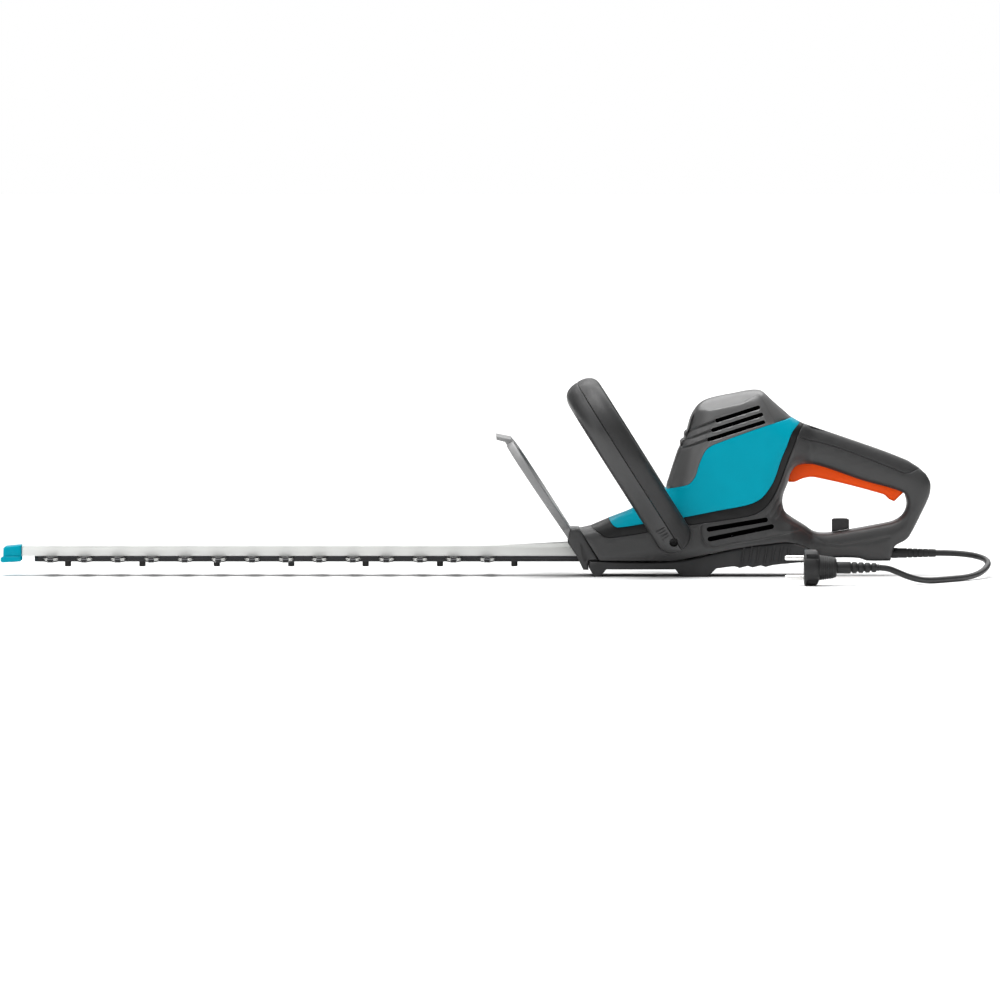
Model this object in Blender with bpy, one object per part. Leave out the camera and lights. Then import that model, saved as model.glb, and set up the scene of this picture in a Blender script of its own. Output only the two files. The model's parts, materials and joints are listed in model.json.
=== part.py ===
"""A corded hedge trimmer: a twin reciprocating blade under an aluminium rail, a hand guard, a
front bail handle and a motor housing that ends in a D-shaped rear handle.

Sizes are in millimetres and become metres when a mesh is made. X runs from the blade tip towards
the rear handle, Y across the tool and Z up. The origin is on the floor under the middle of the
trimmer, which stands on its two feet. The left side is the side at negative Y.
"""
import math

import bmesh
import bpy
import numpy as np
from mathutils import Matrix, Vector
from mathutils.geometry import delaunay_2d_cdt

MM = 0.001
GAP = 0.3  # between pieces that touch

# blades, rail and their bolts
TIP_X = -464.7
BLADE_TIP_X = -430.7
TOOTH_PITCH = 33.5
TEETH_PER_SIDE = 14
TOOTH_BASE = 16.7
TOOTH_END = 7.0
TOOTH_REACH = 43.0
SPINE_HALF = 15.0
FIRST_TOOTH_X = -414.0
BLADE_THICK = 2.5
LOWER_BLADE_Z = 14.3
UPPER_BLADE_Z = LOWER_BLADE_Z + BLADE_THICK + GAP
STROKE = TOOTH_PITCH / 2
BOLT_FIRST_X = -397.7
BOLT_PITCH = 74.4
BOLT_COUNT = 7
BOLT_SHANK_R = 2.5
SLOT_HALF = 2.9
RAIL_Z = UPPER_BLADE_Z + BLADE_THICK + GAP
RAIL_TOP = 29.8
RAIL_ROOT_TOP = 33.8
RAIL_HALF = 14.0
RAIL_WALL = 3.0

# crank drive
CRANK_X = 224.0
CAM_R = 12.0
CAM_OFFSET = STROKE / 2
CRANK_GEAR_R = 32.0
CRANK_TEETH = 48
PINION_TEETH = 8
GEAR_MODULE = 2 * CRANK_GEAR_R / (CRANK_TEETH + 2)
MOTOR_X = CRANK_X + GEAR_MODULE * (CRANK_TEETH + PINION_TEETH) / 2
SHAFT_R = 4.0
SHAFT_BORE = 4.3
SHAFT_TIP_R = 2.7  # the stepped end that carries the pinion
SHAFT_HEIGHTS = (31, 44, 160)
PLATE_HEIGHTS = (22.5, 27.5)
GEAR_HEIGHTS = (33, 41)
PINION_HEIGHTS = (33, 42)
SPINDLE_R = 4.7
SPINDLE_LOW = 20.2
CAM_TOP = 19.7
BEARING_LOWER = (13, 49, 57)  # radius, then low and high z
FAN = (32, 61, 71)
STATOR = (37, 78, 128)
STATOR_BORE = 22.2
ARMATURE = (21.5, 78, 128)
COMMUTATOR = (11, 132, 146)
BEARING_UPPER = (11, 149, 156)
BRUSH_HALF_X = 4.0
BRUSH_Y = (11.4, 27.0)
BRUSH_HEIGHTS = (134, 144)

# housing
WALL = 3.0
SEAM = 0.15  # half of the gap between the left and right shells
UNDERTRAY_HALF = 41.0
TRAY_POCKET = (100, 272, 34, 12.5)  # its low and high x, half-width and floor height
HOOK_HALF = 7.0
COLLAR_HALF = 38.0
COLLAR_OPENING_HALF = 18.5
LIP_HALF = 50.0
VENT_SLOT_WIDTH = 4.6
HOOD_SLOT_WIDTH = 3.4
SLOT_DEPTHS = (22, 60)  # from the middle plane, well past both faces of the wall

# front handle
BAIL_PIVOT = (206.6, 41.1)
BAIL_SCREW = (207.0, 35.4)
BAIL_LEAN = math.radians(32.2)
BAIL_WIDTH = 37.0
BAIL_INNER = 8.5  # thickness on the inner side of its middle line
BAIL_OUTER = 14.0
BAIL_END = 16.0  # how far the rounded foot reaches past the pivot
BAIL_FOOT_Y = 58.0
BAIL_REACH_Y = 101.0
BAIL_HEIGHT = 164.0
BAIL_CORNER = 46.0
SWITCH_TRAVEL = 2.0

# trigger
TRIGGER_HINGE = (433.0, 0.0, 85.5)
TRIGGER_HALF = 12.5
TRIGGER_SLOT_HALF = 13.3
SPRING_X = 341.0
SPRING_LOW = 117.5
SPRING_HIGH = 133.0
SPRING_R = 3.0
SPRING_TURNS = 4
SPRING_WIRE = 1.0
SWITCH_BOX = ((352, -8, 122), (374, 8, 134))
CAPACITOR = ((404, -6, 30), (424, 6, 42))

# cord and plug; the cord leaves the rear, drops to the floor and turns back to the plug
CORD_D = 6.0
CORD_EXIT_Z = 22.3
PLUG_FACE_X = 332.0
PLUG_Y = -250.0
PLUG_Z = 17.8
CORD_ROUTE = [(470.3, 0, 22.3), (483, -0.3, 22.2), (498, -3.5, 21.4), (510.5, -12.5, 19.6), (518, -26, 17.2),
              (520.5, -43, 14.2), (518.5, -62, 10.8), (513, -84, 7.2), (504.5, -108, 4.5), (494, -133, 3.3),
              (482, -158, 3.1), (469, -182, 3.1), (457, -202, 3.4), (446, -219, 4.8), (434.5, -234, 8.4),
              (424.5, -243.5, 12.8), (415, -249, 16.6), (405.8, -250, 17.8)]


# ---------------------------------------------------------------- outlines, as (x, z)

NOSE_TOP = [
    (125.5, 49.7), (143.2, 57.3), (168.2, 67.3), (200.6, 87.6),
]
HOOD_TOP = [
    (201.2, 91.3), (214.2, 129.3), (219.2, 139.3), (223.2, 147.3), (229.2, 166.3),
    (236.2, 174.3), (250.2, 178.8), (268.2, 182.3), (281.2, 184.8), (292.2, 185.3),
    (297.2, 183.5), (307.2, 174.3), (325.2, 158.5),
]
GRIP_TOP = [
    (337.5, 151.9), (372.2, 140.3), (418.2, 124.3), (442.2, 114.8), (453.2, 107.7),
]
REAR = [
    (459.8, 101.8), (463.9, 94.3), (464.6, 88.3), (463, 79.3), (456.2, 64.3), (443.2, 39.3),
    (438.2, 34.8), (430.2, 30.8), (427.6, 27.8), (424.2, 15.7),
]
REAR_BOTTOM = [
    (400.2, 15.9), (393.2, 18.3), (367.2, 18.7), (354.8, 16.5),
]
BELLY = [
    (307.2, 12.3), (274.2, 10.8), (248.2, 8.8), (239.2, 7.3), (134.2, 7.3), (117.2, 7.3),
    (109.2, 20.3), (101.8, 32.3), (104.2, 47.9), (114.2, 47.7),
]
BODY = NOSE_TOP + HOOD_TOP + [
    (333.5, 153.8),
] + GRIP_TOP + REAR + REAR_BOTTOM + BELLY
HAND_HOLE = [
    (331.8, 110.8), (324.8, 103.8), (321.2, 92.3), (317.2, 82.3), (316.2, 73.3), (318.8, 64.3),
    (324.2, 59.3), (340.2, 49.3), (346.2, 45), (354.2, 42.8), (367.2, 43.3), (423.2, 53.3),
    (431.2, 56.3), (437.2, 61.3), (440.5, 68.3), (440.5, 75.8), (436.8, 82.8), (394.2, 95.8),
    (349.2, 110.8),
]

# parting lines, from the rear forwards
HOOD_EDGE = [
    (325.2, 158.5), (294.2, 149.2), (248, 132.4), (242, 129.1), (237.5, 123.6), (232, 110.6),
    (229.8, 102.6), (226, 96.1), (221, 92), (200.9, 87.7),
]
COVER_EDGE = [
    (333.5, 153.8), (325.5, 144.1), (320, 130.3), (314.5, 117.3), (307.5, 96.6), (300.5, 85.1),
    (293.5, 77.6), (281.4, 72.1), (249.2, 65.8), (216.2, 59.3), (174.2, 52.6), (151.1, 49.3),
    (146.5, 52.1), (143.2, 57.3),
]
GRIP_EDGE = [
    (337.5, 151.9), (333.2, 144.8), (331.6, 141),
]
CHASSIS_EDGE = [
    (331.6, 141), (328.2, 132.3), (322.2, 117.3), (315.8, 99.3), (309.2, 83.8), (301.2, 71.8),
    (291.2, 63.8), (279.2, 60.1), (249.2, 55.3), (224.2, 51.8), (194.2, 46.8), (177.2, 43.8),
    (156.2, 40.3), (140.2, 39.1), (133.2, 43.3), (125.5, 49.7),
]
# parting line under the soft grip, from the front rearwards
PAD_EDGE = [
    (331.6, 141), (338.2, 137.3), (354.2, 133.3), (380.2, 125.3), (424.2, 108.3), (440.2, 102.6),
    (453.2, 107.7),
]
CHASSIS_FRONT = [
    (114, 46.9), (133.5, 15.9),
]
CHASSIS_BOTTOM = [
    (207.2, 16.3), (274.2, 29.8), (312.2, 34.8), (324.2, 34.8), (340.8, 28.8), (354.8, 16.8),
    (367.2, 18.7), (393.2, 18.3), (400.2, 15.9), (424.2, 15.7),
]
CHASSIS_REAR = [
    (427.6, 27.8), (430.2, 30.8), (438.2, 34.8), (443.2, 39.3), (456.2, 64.3), (463, 79.3),
    (464.6, 88.3), (463.9, 94.3), (459.8, 101.8),
]

UNDERTRAY = [
    (124.8, 15.1), (207.2, 15.5), (274.2, 29), (312.2, 34), (324.2, 34), (340.2, 28.1),
    (353.8, 16.1), (307.2, 11.8), (299.2, 9.8), (294.2, 11.3), (286.2, 9.3), (281.2, 10.8),
    (273.2, 8.8), (268.2, 10.3), (250.2, 8.3), (241.2, 0), (214.8, 0), (209.2, 7.3),
    (140.2, 7.3), (134.2, 0), (128.2, 0), (124, 7.1), (123, 8.8), (123, 13.8),
]
COLLAR = [
    (104.2, 47.9), (113.2, 47.8), (132.5, 16.5), (122.2, 16), (121.6, 7), (117.2, 7),
    (111.2, 19.3), (101.8, 34),
]
GUARD_LIP = [
    (30.2, 140.8), (45.2, 137.8), (51.8, 128.8), (43.8, 127.3), (39.2, 134.8), (30.8, 136.8),
]
TRIGGER = [
    (319.8, 99.5), (319.8, 110), (334.2, 116.8), (349.2, 115.8), (424.2, 91.3), (433.2, 91.8),
    (437.2, 87.8), (437.2, 82.8), (428.2, 74.3), (423.2, 76.3), (417.2, 81.3), (349.2, 98.3),
    (337.2, 97.3), (329.2, 93.8), (322.9, 93.6),
]
TRIGGER_SLOT = [
    (317.4, 101.3), (317.4, 117.5), (324.2, 124.8), (349.2, 124.8), (427.2, 96.8),
    (442.2, 92.3), (438.8, 76.3), (423.2, 75.3), (349.2, 103.3), (318.6, 91.6),
]
CORD_HOOK = [
    (366.2, 43.8), (366.2, 55.8), (368.2, 56.9), (381.2, 56.9), (383.2, 55.8), (383.2, 46.7),
]
TIP_PROTECTOR = [
    (-443.8, 30.8), (-460.8, 29.8), (-464.2, 27.3), (-464.8, 17.3), (-462.8, 13.3),
    (-443.8, 14.3),
]
HOOD_SLOTS = [
    (248.8, 155.5), (293.2, 169.7), (244.8, 146), (296.2, 162.6), (240.8, 136.6), (298.2, 155),
]
VENT_SLOTS = [
    (240.2, 47.3), (301.2, 57.5), (241.2, 37.5), (307.2, 50.9),
]


# ---------------------------------------------------------------- meshes


def clear_scene():
    for obj in list(bpy.data.objects):
        bpy.data.objects.remove(obj)


def material(name, colour, roughness, metallic=0.0):
    made = bpy.data.materials.new(name)
    made.use_nodes = True
    shader = made.node_tree.nodes["Principled BSDF"]
    shader.inputs["Base Color"].default_value = (*colour, 1.0)
    shader.inputs["Roughness"].default_value = roughness
    shader.inputs["Metallic"].default_value = metallic
    return made


def rounded(obj, angle=30):
    for polygon in obj.data.polygons:
        polygon.use_smooth = True
    obj.data.set_sharp_from_angle(angle=math.radians(angle))
    return obj


def add_piece(name, points, faces, finish):
    """A named object from points in millimetres, with its faces turned outwards."""
    mesh = bpy.data.meshes.new(name)
    mesh.from_pydata([Vector(p) * MM for p in points], [], faces)
    surface = bmesh.new()
    surface.from_mesh(mesh)
    bmesh.ops.recalc_face_normals(surface, faces=surface.faces)
    if surface.calc_volume(signed=True) < 0:
        bmesh.ops.reverse_faces(surface, faces=surface.faces)
    surface.to_mesh(mesh)
    surface.free()
    obj = bpy.data.objects.new(name, mesh)
    bpy.context.scene.collection.objects.link(obj)
    obj.data.materials.append(finish)
    return rounded(obj)


def boolean(obj, other, operation):
    other.hide_render = True
    other.display_type = "WIRE"
    modifier = obj.modifiers.new(other.name, "BOOLEAN")
    modifier.operation = operation
    modifier.solver = "EXACT"
    modifier.object = other


def cut(obj, *others):
    for other in others:
        boolean(obj, other, "DIFFERENCE")
    return obj


def join(obj, *others):
    for other in others:
        boolean(obj, other, "UNION")
    return obj


def hinge_at(obj, x, y, z):
    """Moves the object's origin to a point on its joint axis."""
    offset = Vector((x, y, z)) * MM
    obj.data.transform(Matrix.Translation(-offset))
    obj.location = offset
    return obj


def distance_to(loop, points):
    """Distance of each point to a closed outline."""
    a = np.array(loop)
    along = np.roll(a, -1, axis=0) - a
    to_point = points[:, None, :] - a[None]
    share = np.clip((to_point * along).sum(2) / (along**2).sum(1), 0, 1)
    return np.linalg.norm(to_point - share[..., None] * along, axis=2).min(1)


def inside(loop, points):
    a = np.array(loop)
    b = np.roll(a, -1, axis=0)
    x, z = points[:, 0, None], points[:, 1, None]
    spans = (a[:, 1] > z) != (b[:, 1] > z)
    rise = np.where(b[:, 1] == a[:, 1], 1.0, b[:, 1] - a[:, 1])
    return (spans & (x < (b[:, 0] - a[:, 0]) * (z - a[:, 1]) / rise + a[:, 0])).sum(1) % 2 == 1


def within(loops, points):
    """Inside the first outline and outside its holes."""
    return sum(inside(loop, points).astype(int) for loop in loops) % 2 == 1


def filled(loops, extra=()):
    """The flat triangles between an outline and its holes, with extra points inside."""
    points, edges = [], []
    for loop in loops:
        start = len(points)
        points += loop
        edges += [(start + i, start + (i + 1) % len(loop)) for i in range(len(loop))]
    points += list(extra)
    flat, _, faces, *_ = delaunay_2d_cdt([Vector(p) for p in points], edges, [], 0, 1e-4)
    flat = np.array([tuple(p) for p in flat])
    middles = np.array([flat[list(face)].mean(axis=0) for face in faces])
    kept = within(loops, middles)
    return flat, [tuple(face) for face, keep in zip(faces, kept) if keep]


def between(name, faces, front, back, finish):
    """A solid between two surfaces that share their triangles, with walls along the rim."""
    count = len(front)
    sides = {(a, b) for face in faces for a, b in zip(face, face[1:] + face[:1])}
    rim = [(a, b) for a, b in sides if (b, a) not in sides]
    solid = list(faces) + [tuple(count + i for i in reversed(face)) for face in faces]
    solid += [(b, a, count + a, count + b) for a, b in sorted(rim)]
    return add_piece(name, list(front) + list(back), solid, finish)


def prism(name, loops, near, far, finish, place):
    """Outlines swept between two offsets; place turns (u, v, offset) into (x, y, z)."""
    flat, faces = filled(loops)
    front = [place(u, v, near) for u, v in flat]
    back = [place(u, v, far) for u, v in flat]
    return between(name, faces, front, back, finish)


def side_plate(name, loops, y_near, y_far, finish):
    return prism(name, loops, y_near, y_far, finish, lambda u, v, w: (u, w, v))


def top_plate(name, loops, z_low, z_high, finish):
    return prism(name, loops, z_low, z_high, finish, lambda u, v, w: (u, v, w))


def block(name, low, high, finish):
    outline = [(low[0], low[1]), (high[0], low[1]), (high[0], high[1]), (low[0], high[1])]
    return top_plate(name, [outline], low[2], high[2], finish)


def circle(radius, count, x=0.0, y=0.0):
    turn = 2 * math.pi / count
    return [(x + radius * math.cos(turn * i), y + radius * math.sin(turn * i)) for i in range(count)]


def slot_outline(x_low, x_high, half, steps=5):
    """A slot with round ends, between the centres of its two ends."""
    turn = math.pi / steps
    right = [(x_high + half * math.sin(turn * i), -half * math.cos(turn * i)) for i in range(steps + 1)]
    left = [(x_low - half * math.sin(turn * i), half * math.cos(turn * i)) for i in range(steps + 1)]
    return right + left


AXES = {
    "X": lambda u, v, along: (along, u, v),
    "Y": lambda u, v, along: (v, along, u),
    "Z": lambda u, v, along: (u, v, along),
}


def lathe(name, profile, centre, finish, axis="Z", count=24):
    """A solid of revolution from (radius, height) points listed along its outer side."""
    points = [AXES[axis](u, v, height) for radius, height in profile for u, v in circle(radius, count)]
    faces = []
    for level in range(len(profile) - 1):
        here, above = level * count, (level + 1) * count
        for i in range(count):
            after = (i + 1) % count
            faces.append((here + i, here + after, above + after, above + i))
    faces += [tuple(range(count)), tuple(range((len(profile) - 1) * count, len(profile) * count))]
    return add_piece(name, [tuple(np.add(p, centre)) for p in points], faces, finish)


def shaft(name, radius, low, high, centre, finish, axis="Z", count=20):
    return lathe(name, [(radius, low), (radius, high)], centre, finish, axis, count)


def disc(name, radius, bore, z_low, z_high, x, finish, count=28):
    """A flat disc with a bore, about a vertical axis in the middle plane."""
    return top_plate(name, [circle(radius, count, x), circle(bore, 16, x)], z_low, z_high, finish)


def toothed(teeth, tip, root, tip_share, root_share, x, phase=0.0):
    """A wheel outline; the shares are a tooth's half-width as a part of the tooth pitch."""
    pitch = 2 * math.pi / teeth
    outline = []
    for tooth in range(teeth):
        middle = phase + tooth * pitch
        corners = ((root, -root_share), (tip, -tip_share), (tip, tip_share), (root, root_share))
        for radius, share in corners:
            angle = middle + share * pitch
            outline.append((x + radius * math.cos(angle), radius * math.sin(angle)))
    return outline


def shifted(line, distance):
    """An open line moved to its left by a distance."""
    moved = []
    for i, point in enumerate(line):
        before, after = line[max(i - 1, 0)], line[min(i + 1, len(line) - 1)]
        along = Vector(after) - Vector(before)
        normal = Vector((-along.y, along.x)).normalized()
        moved.append((point[0] + distance * normal.x, point[1] + distance * normal.y))
    return moved


# ---------------------------------------------------------------- housing shells


def edge_distance(points):
    """Distance to the edge of the housing as seen from the side."""
    return np.minimum(distance_to(BODY, points), distance_to(HAND_HOLE, points))


def outer_y(points):
    """Half-width of the housing: narrow at the nose, full at the motor, slim in the rear handle."""
    x = points[:, 0]
    width = np.interp(x, (102, 135, 190, 300, 325, 346, 465), (37, 41, 48, 48, 43, 21, 19.5))
    radius = np.interp(x, (102, 150, 200, 320, 345), (9, 13, 24, 22, 12))
    share = np.clip(edge_distance(points) / radius, 0, 1)
    return width - 0.45 * width * (1 - np.sqrt(1 - (1 - share) ** 2))


def divided(loop, spacing):
    """The outline with its long edges divided."""
    points = []
    for a, b in zip(loop, loop[1:] + loop[:1]):
        count = max(1, round(math.dist(a, b) / spacing))
        points += [(a[0] + (b[0] - a[0]) * i / count, a[1] + (b[1] - a[1]) * i / count)
                   for i in range(count)]
    return points


def beside(loop, distance, spacing):
    """Points at a distance from an outline, on both sides of it."""
    points = divided(loop, spacing)
    found = []
    for a, b in zip(points, points[1:] + points[:1]):
        along = Vector(b) - Vector(a)
        normal = distance * Vector((-along.y, along.x)).normalized()
        middle = Vector(a) + along / 2
        found += [tuple(middle + normal), tuple(middle - normal)]
    return np.array(found)


def shell_points(loops, spacing):
    """Points where a shell bends: along its wall, along its rounding and over its side."""
    low, high = np.min(BODY, axis=0), np.max(BODY, axis=0)
    grid = [(x, z) for x in np.arange(low[0], high[0], 2 * spacing)
            for z in np.arange(low[1], high[1], 2 * spacing)]
    rows = [(beside(edge, distance, spacing), distance)
            for edge in (BODY, HAND_HOLE) for distance in (WALL, WALL + 0.4)]
    rows += [(beside(BODY, distance, 1.5 * spacing), distance) for distance in (9, 18)]
    rows.append((np.array(grid), 20))
    kept = []
    for points, distance in rows:
        fits = inside(BODY, points) & (edge_distance(points) > distance - 0.05) & within(loops, points)
        for loop in loops:
            fits &= distance_to(loop, points) > 1.2
        kept += map(tuple, points[fits])
    return kept


def half_shell(name, loops, side, finish, spacing=14.0, lowered=0.0):
    """One half of a hollow moulding, bounded by outlines seen from the side.

    It closes the housing's edge down to the middle plane and is a skin elsewhere.
    """
    rims = [divided(loop, spacing) for loop in loops]
    flat, faces = filled(rims, shell_points(loops, spacing))
    front = outer_y(flat) - lowered
    at_edge = edge_distance(flat) < WALL + 0.2
    back = np.where(at_edge, SEAM, np.maximum(front - WALL, SEAM))
    return between(
        name,
        faces,
        [(x, side * y, z) for (x, z), y in zip(flat, front)],
        [(x, side * y, z) for (x, z), y in zip(flat, back)],
        finish,
    )


def side_slot(name, start, end, thick, side, finish):
    """A straight cutter with round ends, through one side of the housing."""
    length = math.dist(start, end)
    turn = math.atan2(end[1] - start[1], end[0] - start[0])
    outline = [(start[0] + u * math.cos(turn) - v * math.sin(turn),
                start[1] + u * math.sin(turn) + v * math.cos(turn))
               for u, v in slot_outline(thick / 2, length - thick / 2, thick / 2)]
    near, far = SLOT_DEPTHS
    return side_plate(name, [outline], side * near, side * far, finish)


def cut_slots(shell, ends, thick, side, finish):
    for i in range(0, len(ends), 2):
        cut(shell, side_slot(f"{shell.name}_slot_{i}", ends[i], ends[i + 1], thick, side, finish))


def chassis(name, side, finish):
    """The grey shell: lower housing, rear handle and cable outlet."""
    upper = shifted(CHASSIS_EDGE, GAP / 2)[::-1]
    under_pad = shifted(PAD_EDGE, -GAP / 2)[1:]
    outline = CHASSIS_FRONT[::-1] + upper + under_pad + CHASSIS_REAR[::-1] + CHASSIS_BOTTOM[::-1]
    shell = half_shell(name, [outline, HAND_HOLE], side, finish)
    cut_slots(shell, VENT_SLOTS, VENT_SLOT_WIDTH, side, finish)
    slot = side_plate(f"{name}_trigger_slot", [TRIGGER_SLOT], -TRIGGER_SLOT_HALF, TRIGGER_SLOT_HALF, finish)
    return cut(shell, slot)


def hood(name, side, finish):
    """The grey motor hood with its three air slots."""
    shell = half_shell(name, [HOOD_TOP[:-1] + shifted(HOOD_EDGE, -GAP / 2)], side, finish)
    cut_slots(shell, HOOD_SLOTS, HOOD_SLOT_WIDTH, side, finish)
    return shell


def cover(name, side, finish):
    outline = NOSE_TOP[1:] + shifted(HOOD_EDGE, GAP / 2)[::-1] + shifted(COVER_EDGE, -GAP / 2)[:-1]
    return half_shell(name, [outline], side, finish)


def band(name, side, finish):
    """The dark recessed strip between the cover and the chassis."""
    lower = shifted(GRIP_EDGE + CHASSIS_EDGE[1:], -GAP / 2)
    outline = shifted(COVER_EDGE, GAP / 2) + lower[::-1]
    return half_shell(name, [outline], side, finish, lowered=1.2)


def grip_pad(name, side, finish):
    outline = shifted(GRIP_EDGE, GAP / 2)[::-1] + GRIP_TOP[1:-1] + shifted(PAD_EDGE, GAP / 2)[:0:-1]
    return half_shell(name, [outline], side, finish)


def undertray(finish):
    """The bottom cover with the belly ribs and both feet, open above for the blades."""
    tray = side_plate("undertray", [UNDERTRAY], -UNDERTRAY_HALF, UNDERTRAY_HALF, finish)
    low_x, high_x, half, floor_z = TRAY_POCKET
    pocket = block("undertray_pocket", (low_x, -half, floor_z), (high_x, half, 60), finish)
    return cut(tray, pocket)


def cord_hook(finish):
    return side_plate("cord_hook", [CORD_HOOK], -HOOK_HALF, HOOK_HALF, finish)


def trigger(finish):
    lever = side_plate("trigger", [TRIGGER], -TRIGGER_HALF, TRIGGER_HALF, finish)
    return hinge_at(lever, *TRIGGER_HINGE)


# ---------------------------------------------------------------- guard and front handle

GUARD_BASE = (105.3, 47.3)
GUARD_DIRECTION = (-0.550, 0.835)
GUARD_HALF = [(33, -14), (37, 0), (52, 14), (74, 34), (90, 56), (95, 76), (89, 92), (74, 101), (52, 106)]
GUARD_RIM = 4.5
GUARD_THICK = 8.0
WEB_DEPTHS = (3, 6)  # the thin sheet inside the rim, measured from the rear face
GUARD_SCREWS = {-1: (108.7, -29.0), 1: (108.7, 29.0)}
GUARD_SCREW_Z = 41.0


def mirrored(half):
    """A closed outline from its half at positive Y."""
    return half + [(-y, along) for y, along in reversed(half)]


def on_guard(y, along, depth):
    """A point of the guard: depth is measured forwards from its rear face."""
    ux, uz = GUARD_DIRECTION
    return (GUARD_BASE[0] + along * ux - depth * uz, y, GUARD_BASE[1] + along * uz + depth * ux)


def guard(finish):
    """The collar round the blade root with the hand guard standing on it."""
    rim = prism("guard", [mirrored(GUARD_HALF), mirrored(shifted(GUARD_HALF, GUARD_RIM)[1:])],
                0, GUARD_THICK, finish, on_guard)
    web = prism("guard_web", [mirrored(shifted(GUARD_HALF, GUARD_RIM / 2))], *WEB_DEPTHS, finish, on_guard)
    collar = side_plate("guard_collar", [COLLAR], -COLLAR_HALF, COLLAR_HALF, finish)
    lip = side_plate("guard_lip", [GUARD_LIP], -LIP_HALF, LIP_HALF, finish)
    opening = block("guard_opening", (60, -COLLAR_OPENING_HALF, 13), (150, COLLAR_OPENING_HALF, 38), finish)
    holes = []
    for side, place in GUARD_SCREWS.items():
        steps = [(2.1, -0.5), (2.1, 2.9), (3.7, 2.9), (3.7, 20)]
        holes.append(lathe(f"guard_screw_hole_{side}", steps, (*place, GUARD_SCREW_Z), finish, count=12))
    return cut(join(rim, web, collar, lip), opening, *holes)


def guard_screw(name, side, finish):
    profile = [(1.8, 0), (1.8, 3.2), (3.4, 3.2), (3.4, 6)]
    return lathe(name, profile, (*GUARD_SCREWS[side], GUARD_SCREW_Z), finish, count=12)


def on_bail(y, along, across):
    """A point of the front handle: along runs up its leg, across runs rearwards."""
    lean_x, lean_z = -math.sin(BAIL_LEAN), math.cos(BAIL_LEAN)
    return (
        BAIL_PIVOT[0] + along * lean_x + across * lean_z,
        y,
        BAIL_PIVOT[1] + along * lean_z - across * lean_x,
    )


def bail_path():
    """(y, along, width share) down the middle of the handle, from the left foot to the right one."""
    foot = [(BAIL_FOOT_Y, -BAIL_END * math.sin(math.radians(a))) for a in (84, 65, 45, 22)]
    leg = [(BAIL_FOOT_Y, 0), (BAIL_FOOT_Y + 1, 14), (BAIL_FOOT_Y + 6, 30), (BAIL_FOOT_Y + 18, 50),
           (BAIL_FOOT_Y + 31, 70), (BAIL_REACH_Y - 3, 90)]
    corner = [(BAIL_REACH_Y - BAIL_CORNER * (1 - math.cos(math.radians(a))),
               BAIL_HEIGHT - BAIL_CORNER * (1 - math.sin(math.radians(a)))) for a in range(0, 91, 15)]
    half = []
    for y, along in foot + leg + corner:
        share = math.sqrt(max(0.0, 1 - (min(along, 0) / BAIL_END) ** 2))
        half.append((y, along, share))
    return [(-y, along, share) for y, along, share in half] + half[::-1]


def bail_section(angles):
    """Half of the handle's cross-section: a fairly flat inner side and a rounder outer side."""
    section = [(SEAM, -BAIL_INNER)]
    for degrees in angles:
        turn = math.radians(degrees)
        reach, squareness = (BAIL_OUTER, 2.4) if degrees > 0 else (-BAIL_INNER, 4.0)
        across = BAIL_WIDTH / 2 * math.cos(turn) ** (2 / squareness)
        section.append((across, reach * abs(math.sin(turn)) ** (2 / squareness)))
    return section + [(SEAM, BAIL_OUTER)]


def bail_half(name, facing, finish):
    """One moulding of the front handle; facing is -1 for the front half and 1 for the rear half."""
    section = bail_section((-70, -45, -20, 0, 15, 30, 45, 60, 75))
    path = bail_path()
    points = []
    for i, (y, along, share) in enumerate(path):
        before, after = path[max(i - 1, 0)], path[min(i + 1, len(path) - 1)]
        tangent = Vector((after[0] - before[0], after[1] - before[1])).normalized()
        for across, offset in section:
            across = facing * (SEAM + (across - SEAM) * share)
            points.append(on_bail(y - offset * tangent.y, along + offset * tangent.x, across))
    size = len(section)
    faces = []
    for i in range(len(path) - 1):
        for j in range(size):
            after = (j + 1) % size
            faces.append((i * size + j, i * size + after, (i + 1) * size + after, (i + 1) * size + j))
    faces += [tuple(range(size)), tuple(range((len(path) - 1) * size, len(path) * size))]
    shell = add_piece(name, points, faces, finish)
    for side in (-1, 1):
        hole = shaft(f"{name}_hole_{side}", 4.2, 40, 80, (BAIL_SCREW[0], 0, BAIL_SCREW[1]), finish, "Y")
        hole.data.transform(Matrix.Diagonal((1, side, 1, 1)))
        if side < 0:
            hole.data.flip_normals()
        cut(shell, hole)
    return shell


def bail_screw(name, side, finish):
    profile = [(2.4, 49.8), (2.4, 56), (3.9, 56), (3.9, 60)]
    profile = [(radius, side * y) for radius, y in profile]
    return lathe(name, profile, (BAIL_SCREW[0], 0, BAIL_SCREW[1]), finish, "Y", 16)


def switch_bar(finish):
    """The sprung paddle under the top of the front handle."""
    top = BAIL_HEIGHT - BAIL_INNER - SWITCH_TRAVEL - 0.6
    outline = [(-42, top - 6), (42, top - 6), (46, top), (-46, top)]
    return prism("switch_bar", [outline], -9, 9, finish, on_bail)


# ---------------------------------------------------------------- blades and rail


def blade_outline(tail_x):
    """A toothed blade with a frame at its rear end for the crank."""
    frame_half = CAM_R + 2 * CAM_OFFSET + 6.4
    half = [(tail_x + frame_half, 25), (tail_x + frame_half - 2, 27), (tail_x - frame_half + 2, 27),
            (tail_x - frame_half - 8, SPINE_HALF)]
    for tooth in reversed(range(TEETH_PER_SIDE)):
        middle = FIRST_TOOTH_X + tooth * TOOTH_PITCH
        half += [(middle + TOOTH_BASE / 2, SPINE_HALF), (middle + TOOTH_END / 2, TOOTH_REACH),
                 (middle - TOOTH_END / 2, TOOTH_REACH), (middle - TOOTH_BASE / 2, SPINE_HALF)]
    half.append((BLADE_TIP_X, SPINE_HALF - 4))
    return half + [(x, -y) for x, y in reversed(half)]


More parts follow.
